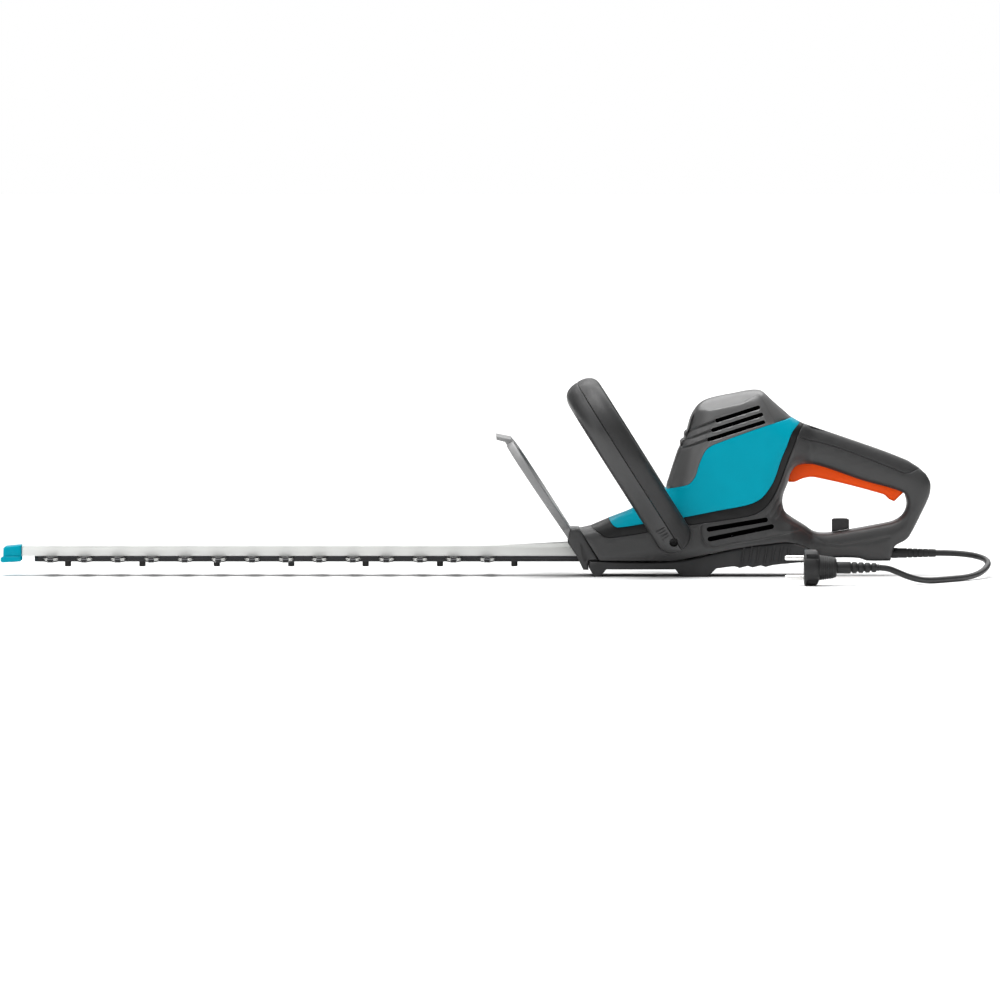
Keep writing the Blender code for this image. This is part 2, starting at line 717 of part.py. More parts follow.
def blade(name, z_low, travel, finish):
    """One of the two blades. Travel is its stroke: positive rearwards, negative forwards."""
    tail_x = CRANK_X - travel / 2
    window_x, window_y = CAM_R + 2 * CAM_OFFSET + 0.4, CAM_R + CAM_OFFSET + 0.4
    window = [(tail_x - window_x, -window_y), (tail_x + window_x, -window_y),
              (tail_x + window_x, window_y), (tail_x - window_x, window_y)]
    slots = []
    for bolt in range(BOLT_COUNT):
        x = BOLT_FIRST_X + bolt * BOLT_PITCH
        slots.append(slot_outline(min(x, x - travel), max(x, x - travel), SLOT_HALF))
    plate = top_plate(name, [blade_outline(tail_x), window] + slots, z_low, z_low + BLADE_THICK, finish)
    return hinge_at(plate, 0, 0, z_low)


def rail(finish):
    """The aluminium channel above the blades."""
    side_view = [(TIP_X + 21.5, RAIL_Z), (TIP_X + 21.5, RAIL_TOP), (14, RAIL_TOP), (109, RAIL_ROOT_TOP),
                 (175, RAIL_ROOT_TOP), (175, RAIL_Z)]
    bar = side_plate("rail", [side_view], -RAIL_HALF, RAIL_HALF, finish)
    half = RAIL_HALF - RAIL_WALL
    channel = block("rail_channel", (-500, -half, RAIL_Z - 5), (160, half, RAIL_TOP - RAIL_WALL), finish)
    return cut(bar, channel)


def blade_bolt(name, x, finish):
    """A stepped bolt: its nut sits in the rail and its head below the blades."""
    head_top = LOWER_BLADE_Z - GAP
    nut_low = RAIL_Z + 0.1
    profile = [(3.25, 9), (3.25, head_top), (BOLT_SHANK_R, head_top), (BOLT_SHANK_R, nut_low),
               (5.4, nut_low), (5.4, nut_low + 4)]
    return lathe(name, profile, (x, 0, 0), finish, count=12)


def tip_protector(finish):
    """The cap over the rail's end, hollow below so that the lower blade can slide into it."""
    cap = side_plate("tip_protector", [TIP_PROTECTOR], -17, 17, finish)
    pocket = block("tip_pocket", (TIP_X + 16.4, -15.6, 10), (TIP_X + 30, 15.6, 20.2), finish)
    return cut(cap, pocket)


# ---------------------------------------------------------------- drive


def crank_gear(finish):
    outer = toothed(CRANK_TEETH, CRANK_GEAR_R, CRANK_GEAR_R - 2.25 * GEAR_MODULE, 0.1, 0.24, CRANK_X,
                    math.pi / CRANK_TEETH)
    wheel = top_plate("crank_gear", [outer], *GEAR_HEIGHTS, finish)
    spindle = shaft("crank_spindle", SPINDLE_R, SPINDLE_LOW, GEAR_HEIGHTS[0] + 1, (CRANK_X, 0, 0), finish)
    return hinge_at(join(wheel, spindle), CRANK_X, 0, 0)


def crank_cams(finish):
    """Two discs on opposite sides of the crank axis, one in each blade's frame."""
    middle = UPPER_BLADE_Z - GAP / 2
    lower_disc = circle(CAM_R, 28, CRANK_X + CAM_OFFSET)
    upper_disc = circle(CAM_R, 28, CRANK_X - CAM_OFFSET)
    lower = top_plate("crank_cams", [lower_disc], LOWER_BLADE_Z, middle, finish)
    upper = top_plate("cam_upper", [upper_disc], middle - 0.1, CAM_TOP, finish)
    return hinge_at(join(lower, upper), CRANK_X, 0, 0)


def gear_plate(finish):
    outline = [(182, -31), (268, -31), (271, -28), (271, 28), (268, 31), (182, 31), (179, 28), (179, -28)]
    holes = [circle(5.0, 20, CRANK_X)]
    holes += [circle(2.2, 12, x, y) for x in (187, 262) for y in (-24, 24)]
    return top_plate("gear_plate", [outline] + holes, *PLATE_HEIGHTS, finish)


def pinion(finish):
    tip, root = GEAR_MODULE * (PINION_TEETH / 2 + 1), GEAR_MODULE * (PINION_TEETH / 2 - 1.1)
    outline = toothed(PINION_TEETH, tip, root, 0.09, 0.24, MOTOR_X, math.pi)
    wheel = top_plate("pinion", [outline, circle(SHAFT_TIP_R + GAP, 14, MOTOR_X)], *PINION_HEIGHTS, finish)
    return hinge_at(wheel, MOTOR_X, 0, 0)


def motor_shaft(finish):
    low, step, high = SHAFT_HEIGHTS
    profile = [(SHAFT_TIP_R, low), (SHAFT_TIP_R, step), (SHAFT_R, step), (SHAFT_R, high)]
    return hinge_at(lathe("motor_shaft", profile, (MOTOR_X, 0, 0), finish, count=16), MOTOR_X, 0, 0)


def fan(finish):
    radius, low, high = FAN
    outline = toothed(9, radius, 13, 0.08, 0.2, MOTOR_X)
    wheel = top_plate("fan", [outline, circle(SHAFT_BORE, 16, MOTOR_X)], low, high, finish)
    return hinge_at(wheel, MOTOR_X, 0, 0)


def armature(finish):
    radius, low, high = ARMATURE
    outline = toothed(12, radius, 15, 0.42, 0.3, MOTOR_X)
    core = top_plate("armature", [outline, circle(SHAFT_BORE, 16, MOTOR_X)], low, high, finish)
    return hinge_at(core, MOTOR_X, 0, 0)


def commutator(finish):
    radius, low, high = COMMUTATOR
    return hinge_at(disc("commutator", radius, SHAFT_BORE, low, high, MOTOR_X, finish), MOTOR_X, 0, 0)


def brush(name, side, finish):
    ends = sorted(side * y for y in BRUSH_Y)
    low, high = BRUSH_HEIGHTS
    low_x, high_x = MOTOR_X - BRUSH_HALF_X, MOTOR_X + BRUSH_HALF_X
    return block(name, (low_x, ends[0], low), (high_x, ends[1], high), finish)


def switch_box(finish):
    return block("switch_box", *SWITCH_BOX, finish)


def capacitor(finish):
    return block("capacitor", *CAPACITOR, finish)


def trigger_spring(finish):
    """A helical spring between the trigger and the handle."""
    curve = bpy.data.curves.new("trigger_spring", "CURVE")
    curve.dimensions = "3D"
    steps = 10
    spline = curve.splines.new("POLY")
    spline.points.add(SPRING_TURNS * steps)
    for i, point in enumerate(spline.points):
        angle = 2 * math.pi * i / steps
        height = SPRING_LOW + (SPRING_HIGH - SPRING_LOW) * i / (SPRING_TURNS * steps)
        x, y = SPRING_X + SPRING_R * math.cos(angle), SPRING_R * math.sin(angle)
        point.co = (x * MM, y * MM, height * MM, 1)
    curve.bevel_depth = SPRING_WIRE / 2 * MM
    curve.bevel_resolution = 0
    curve.use_fill_caps = True
    curve.materials.append(finish)
    obj = bpy.data.objects.new("trigger_spring", curve)
    bpy.context.scene.collection.objects.link(obj)


# ---------------------------------------------------------------- cord


def strain_relief(finish):
    """The tapered bend protector, with shallow rings."""
    profile = [(5.2, 428), (5.2, 431)]
    for i in range(6):
        x = 433 + 6 * i
        radius = 5.0 - 0.2 * i
        profile += [(radius, x), (radius, x + 4), (radius - 0.7, x + 4.3), (radius - 0.7, x + 5.7)]
    profile.append((3.6, 470))
    return lathe("strain_relief", profile, (0, 0, CORD_EXIT_Z), finish, "X", 16)


def smooth_curve(points, steps):
    """Points along a Catmull-Rom curve through the route."""
    ends = [2 * Vector(points[0]) - Vector(points[1])]
    route = ends + [Vector(p) for p in points] + [2 * Vector(points[-1]) - Vector(points[-2])]
    found = []
    for a, b, c, d in zip(route, route[1:], route[2:], route[3:]):
        for i in range(steps):
            t = i / steps
            found.append(0.5 * (2 * b + (c - a) * t + (2 * a - 5 * b + 4 * c - d) * t**2
                                + (3 * b - a - 3 * c + d) * t**3))
    return found + [Vector(points[-1])]


def cord(finish):
    curve = bpy.data.curves.new("cord", "CURVE")
    curve.dimensions = "3D"
    spline = curve.splines.new("POLY")
    points = smooth_curve(CORD_ROUTE, 3)
    spline.points.add(len(points) - 1)
    for point, place in zip(spline.points, points):
        point.co = (*(place * MM), 1)
    curve.bevel_depth = CORD_D / 2 * MM
    curve.bevel_resolution = 2
    curve.use_fill_caps = True
    curve.materials.append(finish)
    obj = bpy.data.objects.new("cord", curve)
    bpy.context.scene.collection.objects.link(obj)


def plug_body(finish):
    """A round-faced mains plug: a wide flange, then a tapering grip."""
    flange = [(17.4, 0), (17.8, 1.5), (17.8, 11), (16.4, 13.6)]
    grip = [(12.6, 14.6), (11.0, 22), (9.4, 30.4), (8.0, 32)]
    return lathe("plug_body", flange + grip, (PLUG_FACE_X, PLUG_Y, PLUG_Z), finish, "X", 24)


def plug_pin(name, side, finish):
    profile = [(1.6, -19), (2.4, -17.5), (2.4, -GAP)]
    centre = (PLUG_FACE_X, PLUG_Y, PLUG_Z + side * 9.5)
    return lathe(name, profile, centre, finish, "X", 12)


def plug_relief(finish):
    profile = [(5.9, 32.3), (5.9, 46)]
    for i in range(4):
        x, radius = 47.5 + 6.4 * i, 5.7 - 0.35 * i
        profile += [(radius - 1.4, x - 0.8), (radius, x), (radius, x + 4), (radius - 1.4, x + 4.8)]
    return lathe("plug_relief", profile + [(3.4, 73)], (PLUG_FACE_X, PLUG_Y, PLUG_Z), finish, "X", 16)


# ---------------------------------------------------------------- the whole trimmer


def main():
    clear_scene()
    grey = material("grey_plastic", (0.075, 0.075, 0.078), 0.55)
    hood_grey = material("hood_grey", (0.085, 0.085, 0.086), 0.5)
    turquoise = material("turquoise_plastic", (0.0, 0.36, 0.46), 0.35)
    band_black = material("band_black", (0.014, 0.014, 0.016), 0.5)
    tray_black = material("tray_black", (0.022, 0.022, 0.023), 0.6)
    soft = material("soft_grip", (0.045, 0.045, 0.047), 0.8)
    guard_grey = material("guard_grey", (0.12, 0.12, 0.12), 0.5)
    bail_light = material("bail_front", (0.075, 0.075, 0.077), 0.5)
    bail_dark = material("bail_rear", (0.035, 0.035, 0.037), 0.6)
    orange = material("orange_plastic", (0.72, 0.09, 0.01), 0.4)
    aluminium = material("rail_aluminium", (0.8, 0.81, 0.79), 0.3, 1.0)
    steel = material("blade_steel", (0.16, 0.16, 0.17), 0.35, 1.0)
    bolt_steel = material("bolt_steel", (0.1, 0.1, 0.1), 0.4, 1.0)
    gear_steel = material("gear_steel", (0.35, 0.35, 0.36), 0.35, 1.0)
    laminations = material("laminations", (0.2, 0.2, 0.21), 0.5, 1.0)
    copper = material("copper", (0.7, 0.35, 0.2), 0.35, 1.0)
    carbon = material("carbon", (0.02, 0.02, 0.02), 0.7)
    rubber = material("cord_rubber", (0.02, 0.02, 0.021), 0.6)
    pin_metal = material("pin_metal", (0.75, 0.75, 0.74), 0.25, 1.0)

    for label, side in (("left", -1), ("right", 1)):
        chassis(f"chassis_{label}", side, grey)
        hood(f"hood_{label}", side, hood_grey)
        cover(f"cover_{label}", side, turquoise)
        band(f"band_{label}", side, band_black)
        grip_pad(f"grip_pad_{label}", side, soft)
        bail_screw(f"front_handle_screw_{label}", side, bolt_steel)
        guard_screw(f"guard_screw_{label}", side, bolt_steel)
        brush(f"brush_{label}", side, carbon)
    undertray(tray_black)
    cord_hook(tray_black)
    guard(guard_grey)
    bail_half("front_handle_front", -1, bail_light)
    bail_half("front_handle_rear", 1, bail_dark)
    switch_bar(tray_black)
    trigger(orange)
    trigger_spring(pin_metal)
    switch_box(carbon)
    capacitor(carbon)

    rail(aluminium)
    blade("lower_blade", LOWER_BLADE_Z, -STROKE, steel)
    blade("upper_blade", UPPER_BLADE_Z, STROKE, steel)
    for bolt in range(BOLT_COUNT):
        blade_bolt(f"blade_bolt_{bolt + 1}", BOLT_FIRST_X + bolt * BOLT_PITCH, bolt_steel)
    tip_protector(turquoise)

    gear_plate(aluminium)
    crank_gear(gear_steel)
    crank_cams(gear_steel)
    pinion(gear_steel)
    motor_shaft(gear_steel)
    fan(carbon)
    armature(laminations)
    commutator(copper)
    for name, size, bore, finish in (("stator", STATOR, STATOR_BORE, laminations),
                                     ("bearing_upper", BEARING_UPPER, SHAFT_BORE, gear_steel),
                                     ("bearing_lower", BEARING_LOWER, SHAFT_BORE, gear_steel)):
        radius, low, high = size
        disc(name, radius, bore, low, high, MOTOR_X, finish)

    strain_relief(rubber)
    cord(rubber)
    plug_body(rubber)
    plug_relief(rubber)
    plug_pin("plug_pin_upper", 1, pin_metal)
    plug_pin("plug_pin_lower", -1, pin_metal)


main()
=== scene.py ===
"""The hedge trimmer's visual model: smooth mouldings, ground blades, a rubber cord and studio light.

Sizes are in millimetres and become metres when a mesh is made.
"""
import json
import math

import bmesh
import bpy
import numpy as np
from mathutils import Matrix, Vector
from mathutils.geometry import delaunay_2d_cdt

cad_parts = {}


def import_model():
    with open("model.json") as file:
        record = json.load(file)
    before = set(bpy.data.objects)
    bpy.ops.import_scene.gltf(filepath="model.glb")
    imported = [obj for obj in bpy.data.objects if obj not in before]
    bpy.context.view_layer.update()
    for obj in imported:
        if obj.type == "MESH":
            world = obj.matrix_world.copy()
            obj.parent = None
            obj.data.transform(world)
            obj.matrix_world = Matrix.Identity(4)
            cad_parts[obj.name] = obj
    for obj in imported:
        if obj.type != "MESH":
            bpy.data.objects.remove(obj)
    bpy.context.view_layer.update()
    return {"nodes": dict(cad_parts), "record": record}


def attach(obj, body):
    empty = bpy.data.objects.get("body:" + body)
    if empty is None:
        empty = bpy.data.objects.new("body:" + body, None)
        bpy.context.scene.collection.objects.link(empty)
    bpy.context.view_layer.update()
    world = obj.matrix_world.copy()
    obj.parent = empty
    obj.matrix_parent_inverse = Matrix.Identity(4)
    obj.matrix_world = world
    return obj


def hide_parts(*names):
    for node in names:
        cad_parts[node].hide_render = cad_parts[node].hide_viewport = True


MM = 0.001
GAP = 0.3
PARTING = 0.05  # between mouldings that meet in a parting line
WALL = 3.0
SEAM = 0.12  # from a mirrored half to the middle plane
SHARP_ANGLE = math.radians(35)  # edges that turn further stay sharp

CRANK_X = 224.0
TIP_X = -464.7
BLADE_TIP_X = -430.7
TOOTH_PITCH = 33.5
TEETH_PER_SIDE = 14
FIRST_TOOTH_X = -414.0
TOOTH_BASE = 16.7
TOOTH_END = 7.0
TOOTH_REACH = 43.0
SPINE_HALF = 15.0
BLADE_THICK = 2.5
LOWER_BLADE_Z = 14.3
UPPER_BLADE_Z = 17.1
STROKE = TOOTH_PITCH / 2
BOLT_FIRST_X = -397.7
BOLT_PITCH = 74.4
BOLT_COUNT = 7
BOLT_SLOT_HALF = 2.9
TOOTH_GRIND = 1.1
TAIL_REACH = 35.15  # from the crank's centre back to the end of a blade's tail frame
TAIL_HALF = 27.0
TAIL_INSET = 0.05
WINDOW_HALF = (29.15, 20.8)
RAIL_FRONT_X = -443.2
RAIL_REAR_X = 175.0
RAIL_Z = 19.9
RAIL_TOP = 29.8
RAIL_ROOT_TOP = 33.8
RAIL_HALF = 14.0
CHANNEL_HALF = 11.0
RAIL_GROOVE_HALF = 0.5
RAIL_TOP_GROOVE_Y = 10.5
RAIL_TOP_GROOVE_HALF = 0.6
RAIL_CUT_X = (-500.0, 200.0)  # ends of the cutters that run past the rail

UNDERTRAY_HALF = 41.0
TRAY_POCKET = ((100, -34, 12.5), (272, 34, 60))
BELLY_RIBS = 9
BELLY_RIB_X = 274.0
BELLY_RIB_PITCH = 7.5
BELLY_RIB_WIDTH = 1.8
BELLY_RIB_LOW = 12.5
BELLY_RIB_RISE = 0.03
BELLY_RIB_LEAN = 0.18

BAIL_PIVOT = (206.6, 41.1)
BAIL_SCREW = (207.0, 0.0, 35.4)
BAIL_LEAN = math.radians(32.2)
BAIL_WIDTH = 37.0
BAIL_INNER = 8.5
BAIL_OUTER = 14.0
BAIL_END = 16.0
BAIL_FOOT_Y = 58.0
BAIL_REACH_Y = 101.0
BAIL_HEIGHT = 164.0
BAIL_CORNER = 46.0
BAIL_HOLE_RADIUS = 4.2
HANDLE_BOSS = [(13.0, 43.5), (13.0, 49.0), (12.4, 49.4)]
FOOT_GROOVES = 4
FOOT_GROOVE_PITCH = 3.2
FOOT_GROOVE_WIDTH = 0.7
FOOT_GROOVE_DEPTH = 1.6
SWITCH_GAP = 2.6
SWITCH_HEIGHT = 6.0

CORD_D = 6.0
CORD_EXIT_Z = 22.3
PLUG_FACE_X = 332.0
PLUG_Y = -250.0
PLUG_Z = 17.8
CORD_ROUTE = [(470.3, 0, 22.3), (483, -0.3, 22.2), (498, -3.5, 21.4), (510.5, -12.5, 19.6), (518, -26, 17.2),
              (520.5, -43, 14.2), (518.5, -62, 10.8), (513, -84, 7.2), (504.5, -108, 4.5), (494, -133, 3.3),
              (482, -158, 3.1), (469, -182, 3.1), (457, -202, 3.4), (446, -219, 4.8), (434.5, -234, 8.4),
              (424.5, -243.5, 12.8), (415, -249, 16.6), (405.8, -250, 17.8)]


# ---- outlines, as (x, z)

NOSE_TOP = [(125.5, 49.7), (143.2, 57.3), (168.2, 67.3), (200.6, 87.6)]
HOOD_TOP = [
    (201.2, 91.3), (214.2, 129.3), (219.2, 139.3), (223.2, 147.3), (229.2, 166.3),
    (236.2, 174.3), (250.2, 178.8), (268.2, 182.3), (281.2, 184.8), (292.2, 185.3),
    (297.2, 183.5), (307.2, 174.3), (325.2, 158.5),
]
GRIP_TOP = [
    (337.5, 151.9), (372.2, 140.3), (418.2, 124.3), (442.2, 114.8), (453.2, 107.7),
]
REAR = [
    (459.8, 101.8), (463.9, 94.3), (464.6, 88.3), (463, 79.3), (456.2, 64.3), (443.2, 39.3),
    (438.2, 34.8), (430.2, 30.8), (427.6, 27.8), (424.2, 15.7),
]
REAR_BOTTOM = [(400.2, 15.9), (393.2, 18.3), (367.2, 18.7), (354.8, 16.5)]
BELLY = [
    (307.2, 12.3), (274.2, 10.8), (248.2, 8.8), (239.2, 7.3), (134.2, 7.3), (117.2, 7.3),
    (109.2, 20.3), (101.8, 32.3), (104.2, 47.9), (114.2, 47.7),
]
BODY = NOSE_TOP + HOOD_TOP + [(333.5, 153.8)] + GRIP_TOP + REAR + REAR_BOTTOM + BELLY
HAND_HOLE = [
    (331.8, 110.8), (324.8, 103.8), (321.2, 92.3), (317.2, 82.3), (316.2, 73.3), (318.8, 64.3),
    (324.2, 59.3), (340.2, 49.3), (346.2, 45), (354.2, 42.8), (367.2, 43.3), (423.2, 53.3),
    (431.2, 56.3), (437.2, 61.3), (440.5, 68.3), (440.5, 75.8), (436.8, 82.8), (394.2, 95.8),
    (349.2, 110.8),
]

# parting lines, from the rear forwards
HOOD_EDGE = [
    (325.2, 158.5), (294.2, 149.2), (248, 132.4), (242, 129.1), (237.5, 123.6), (232, 110.6),
    (229.8, 102.6), (226, 96.1), (221, 92), (200.9, 87.7),
]
COVER_EDGE = [
    (333.5, 153.8), (325.5, 144.1), (320, 130.3), (314.5, 117.3), (307.5, 96.6), (300.5, 85.1),
    (293.5, 77.6), (281.4, 72.1), (249.2, 65.8), (216.2, 59.3), (174.2, 52.6), (151.1, 49.3),
    (146.5, 52.1), (143.2, 57.3),
]
GRIP_EDGE = [(337.5, 151.9), (333.2, 144.8), (331.6, 141)]
CHASSIS_EDGE = [
    (331.6, 141), (328.2, 132.3), (322.2, 117.3), (315.8, 99.3), (309.2, 83.8), (301.2, 71.8),
    (291.2, 63.8), (279.2, 60.1), (249.2, 55.3), (224.2, 51.8), (194.2, 46.8), (177.2, 43.8),
    (156.2, 40.3), (140.2, 39.1), (133.2, 43.3), (125.5, 49.7),
]
# parting line under the soft grip, from the front rearwards
PAD_EDGE = [
    (331.6, 141), (338.2, 137.3), (354.2, 133.3), (380.2, 125.3), (424.2, 108.3), (440.2, 102.6),
    (453.2, 107.7),
]
CHASSIS_FRONT = [(114, 46.9), (133.5, 15.9)]
CHASSIS_BOTTOM = [
    (207.2, 16.3), (274.2, 29.8), (312.2, 34.8), (324.2, 34.8), (340.8, 28.8), (354.8, 16.8),
] + REAR_BOTTOM[2::-1] + REAR[-1:]

UNDERTRAY = [
    (124.8, 15.1), (207.2, 15.5), (274.2, 29), (312.2, 34), (324.2, 34), (340.2, 28.1),
    (353.8, 16.1), (307.2, 11.8), (299.2, 9.8), (294.2, 11.3), (286.2, 9.3), (281.2, 10.8),
    (273.2, 8.8), (268.2, 10.3), (250.2, 8.3), (241.2, 0), (214.8, 0), (209.2, 7.3),
    (140.2, 7.3), (134.2, 0), (128.2, 0), (124, 7.1), (123, 8.8), (123, 13.8),
]
COLLAR = [
    (104.2, 47.9), (113.5, 47.8), (133, 16.3), (122.6, 15.7), (122.6, 6.7), (117.2, 7),
    (111.2, 19.3), (101.8, 34),
]
GUARD_LIP = [
    (30.2, 140.8), (45.2, 137.8), (51.8, 128.8), (43.8, 127.3), (39.2, 134.8), (30.8, 136.8),
]
TRIGGER = [
    (319.8, 99.5), (319.8, 110), (334.2, 116.8), (349.2, 115.8), (424.2, 91.3), (433.2, 91.8),
    (437.2, 87.8), (437.2, 82.8), (428.2, 74.3), (423.2, 76.3), (417.2, 81.3), (349.2, 98.3),
    (337.2, 97.3), (329.2, 93.8), (322.9, 93.6),
]
TRIGGER_SLOT = [
    (317.4, 101.3), (317.4, 117.5), (324.2, 124.8), (349.2, 124.8), (427.2, 96.8), (442.2, 92.3),
    (438.8, 76.3), (423.2, 75.3), (349.2, 103.3), (318.5, 91.6),
]
CORD_HOOK = [
    (366.2, 43.8), (366.2, 55.8), (368.2, 56.9), (381.2, 56.9), (383.2, 55.8), (383.2, 46.7),
]
TIP_PROTECTOR = [
    (-443.8, 30.8), (-459.8, 29.3), (-461.9, 27.8), (-462.1, 19), (-464.6, 17.8), (-464.8, 14.8),
    (-462.8, 13.3), (-443.8, 14.3),
]
HOOD_SLOTS = [
    (248.8, 155.5), (293.2, 169.7), (244.8, 146), (296.2, 162.6), (240.8, 136.6), (298.2, 155),
]
VENT_SLOTS = [(240.2, 47.3), (301.2, 57.5), (241.2, 37.5), (307.2, 50.9)]

HOOD_FRONT = [
    (201.2, 91.3), (212.2, 124.8), (214.2, 128.8), (214.4, 133.8), (216.1, 135.9),
    (218.2, 137.4), (218.4, 141.8), (219.5, 143.9), (221.5, 145.3), (222.9, 150.8),
    (225.2, 158.3), (228.8, 165.3), (234.2, 171.8), (241.2, 176), (250.2, 178.8),
]
HOOD_RIDGES = [
    [(212.2, 126.8), (224.2, 130.8), (240.2, 137)],
    [(215.2, 134.8), (227.2, 139.3), (244.2, 146.3)],
    [(218.8, 142.8), (230.2, 148.3), (248.2, 155.8)],
]
HOOD_CHAMFER = [
    (224.2, 162.3), (231.2, 165.8), (245.2, 166.5), (275.2, 172.8), (291.2, 182.3),
    (304.2, 176.3),
]
HOOD_VENT = [
    (234.2, 129.3), (240.2, 155.3), (248.2, 162.3), (304.2, 179.3), (306.2, 153.3),
]
BODY_VENT = [(234.2, 30.3), (234.2, 51.3), (306.2, 64.3), (314.2, 48.3)]
VENT_PANEL = [
    (242.2, 60.8), (236.8, 57.3), (234.2, 50.3), (234.5, 42.3), (236.8, 35.8), (240.8, 31.8),
    (247.2, 30.3), (294.2, 38.3), (334.2, 46.8),
]
CHASSIS_CREASE = [
    (320.2, 56.3), (334.2, 48.3), (349.2, 38.3), (360.2, 32.3), (374.2, 30.3), (400.2, 34.3),
    (423.2, 38.8),
]
CHASSIS_RIBS = [
    [(300.2, 62.3), (305.2, 68.3), (311.2, 78.3)],
    [(304.2, 60.3), (309.2, 66.3), (314.2, 74.3)],
    [(308.2, 57.8), (313.2, 63.3), (317.2, 69.3)],
]
NOTCH = [
    (113.9, 32.3), (116.5, 32.3), (120.9, 17.8), (120.5, 15.3), (117.9, 15.3), (115.5, 24.3),
]
# the crease down the hood's rear corner, from its top, and how far it runs back per unit of drop
HOOD_REAR_EDGE = [(294.2, 179.3), (310.2, 151.3)]
HOOD_REAR_SLANT = 0.57

# ---- meshes

ROUNDING_ROWS = (0.08, 0.3, 0.62, 1.0)  # rows of points across a rounded rim, as shares of its radius
ROUNDING_DROP = 0.92  # depth of a rounded rim, as a share of its radius
SLOT_STEPS = 8


def added(name, data):
    obj = bpy.data.objects.new(name, data)
    bpy.context.scene.collection.objects.link(obj)
    return obj


def smooth(obj):
    for polygon in obj.data.polygons:
        polygon.use_smooth = True
    obj.data.set_sharp_from_angle(angle=SHARP_ANGLE)
    return obj


def add_piece(name, points, faces):
    """A named object from points in millimetres, with its faces turned outwards."""
    mesh = bpy.data.meshes.new(name)
    mesh.from_pydata([Vector(p) * MM for p in points], [], faces)
    surface = bmesh.new()
    surface.from_mesh(mesh)
    bmesh.ops.recalc_face_normals(surface, faces=surface.faces)
    if surface.calc_volume(signed=True) < 0:
        bmesh.ops.reverse_faces(surface, faces=surface.faces)
    surface.to_mesh(mesh)
    surface.free()
    return smooth(added(name, mesh))


def merged(name, objects):
    """Several objects made one, each keeping its own faces."""
    surface = bmesh.new()
    for obj in objects:
        surface.from_mesh(obj.data)
        bpy.data.objects.remove(obj)
    mesh = bpy.data.meshes.new(name)
    surface.to_mesh(mesh)
    surface.free()
    return smooth(added(name, mesh))


def bevelled(obj, width):
    modifier = obj.modifiers.new("soft_edges", "BEVEL")
    modifier.width = width * MM
    modifier.segments = 2
    modifier.limit_method = "ANGLE"
    modifier.angle_limit = SHARP_ANGLE
    return obj


def cut(obj, *others):
    for other in others:
        modifier = obj.modifiers.new(other.name, "BOOLEAN")
        modifier.operation = "DIFFERENCE"
        modifier.solver = "EXACT"
        modifier.object = other
    return obj


def applied(obj):
    """Bakes the object's modifiers into its mesh and removes their cutters."""
    graph = bpy.context.evaluated_depsgraph_get()
    mesh = bpy.data.meshes.new_from_object(obj.evaluated_get(graph))
    helpers = [m.object for m in obj.modifiers if m.type == "BOOLEAN"]
    obj.modifiers.clear()
    obj.data = mesh
    for helper in helpers:
        bpy.data.objects.remove(helper)
    return obj


def distance_to(loop, points, closed=True):
    """Distance of each point to an outline."""
    a = np.array(loop)
    b = np.roll(a, -1, axis=0)
    if not closed:
        a, b = a[:-1], b[:-1]
    along = b - a
    to_point = points[:, None, :] - a[None]
    share = np.clip((to_point * along).sum(2) / (along**2).sum(1), 0, 1)
    return np.linalg.norm(to_point - share[..., None] * along, axis=2).min(1)


def rim_distance(loops, points):
    return np.min([distance_to(loop, points) for loop in loops], axis=0)


def inside(loop, points):
    a = np.array(loop)
    b = np.roll(a, -1, axis=0)
    x, z = points[:, 0, None], points[:, 1, None]
    spans = (a[:, 1] > z) != (b[:, 1] > z)
    rise = np.where(b[:, 1] == a[:, 1], 1.0, b[:, 1] - a[:, 1])
    return (spans & (x < (b[:, 0] - a[:, 0]) * (z - a[:, 1]) / rise + a[:, 0])).sum(1) % 2 == 1


def within(loops, points):
    return sum(inside(loop, points).astype(int) for loop in loops) % 2 == 1


def filled(loops, extra=()):
    """The flat triangles between an outline and its holes, with extra points inside."""
    points, edges = [], []
    for loop in loops:
        start = len(points)
        points += loop
        edges += [(start + i, start + (i + 1) % len(loop)) for i in range(len(loop))]
    points += list(extra)
    mesh = delaunay_2d_cdt([Vector(p) for p in points], edges, [], 0, 1e-4)
    flat, faces = np.array([tuple(p) for p in mesh[0]]), mesh[2]
    middles = np.array([flat[list(face)].mean(axis=0) for face in faces])
    kept = within(loops, middles)
    return flat, [tuple(face) for face, keep in zip(faces, kept) if keep]


def between(name, faces, front, back):
    """A solid between two surfaces that share their triangles, with walls along the rim."""
    count = len(front)
    sides = {(a, b) for face in faces for a, b in zip(face, face[1:] + face[:1])}
    rim = [(a, b) for a, b in sides if (b, a) not in sides]
    solid = list(faces) + [tuple(count + i for i in reversed(face)) for face in faces]
    solid += [(b, a, count + a, count + b) for a, b in sorted(rim)]
    return add_piece(name, list(front) + list(back), solid)


def prism(name, loops, near, far, place):
    """Outlines swept between two offsets; place turns (u, v, offset) into (x, y, z)."""
    flat, faces = filled(loops)
    front = [place(u, v, near) for u, v in flat]
    back = [place(u, v, far) for u, v in flat]
    return between(name, faces, front, back)


def on_side(u, v, w):
    return (u, w, v)


def side_plate(name, loops, y_near, y_far):
    return prism(name, loops, y_near, y_far, on_side)


def top_plate(name, loops, z_low, z_high):
    return prism(name, loops, z_low, z_high, lambda u, v, w: (u, v, w))


def along_lines(lines, offsets, step):
    """Points on both sides of some lines, at the given offsets."""
    found = []
    for line in lines:
        fine = curved(line, step=step)
        for offset in offsets:
            found += shifted(fine, offset) + shifted(fine, -offset)
    return np.array(found)


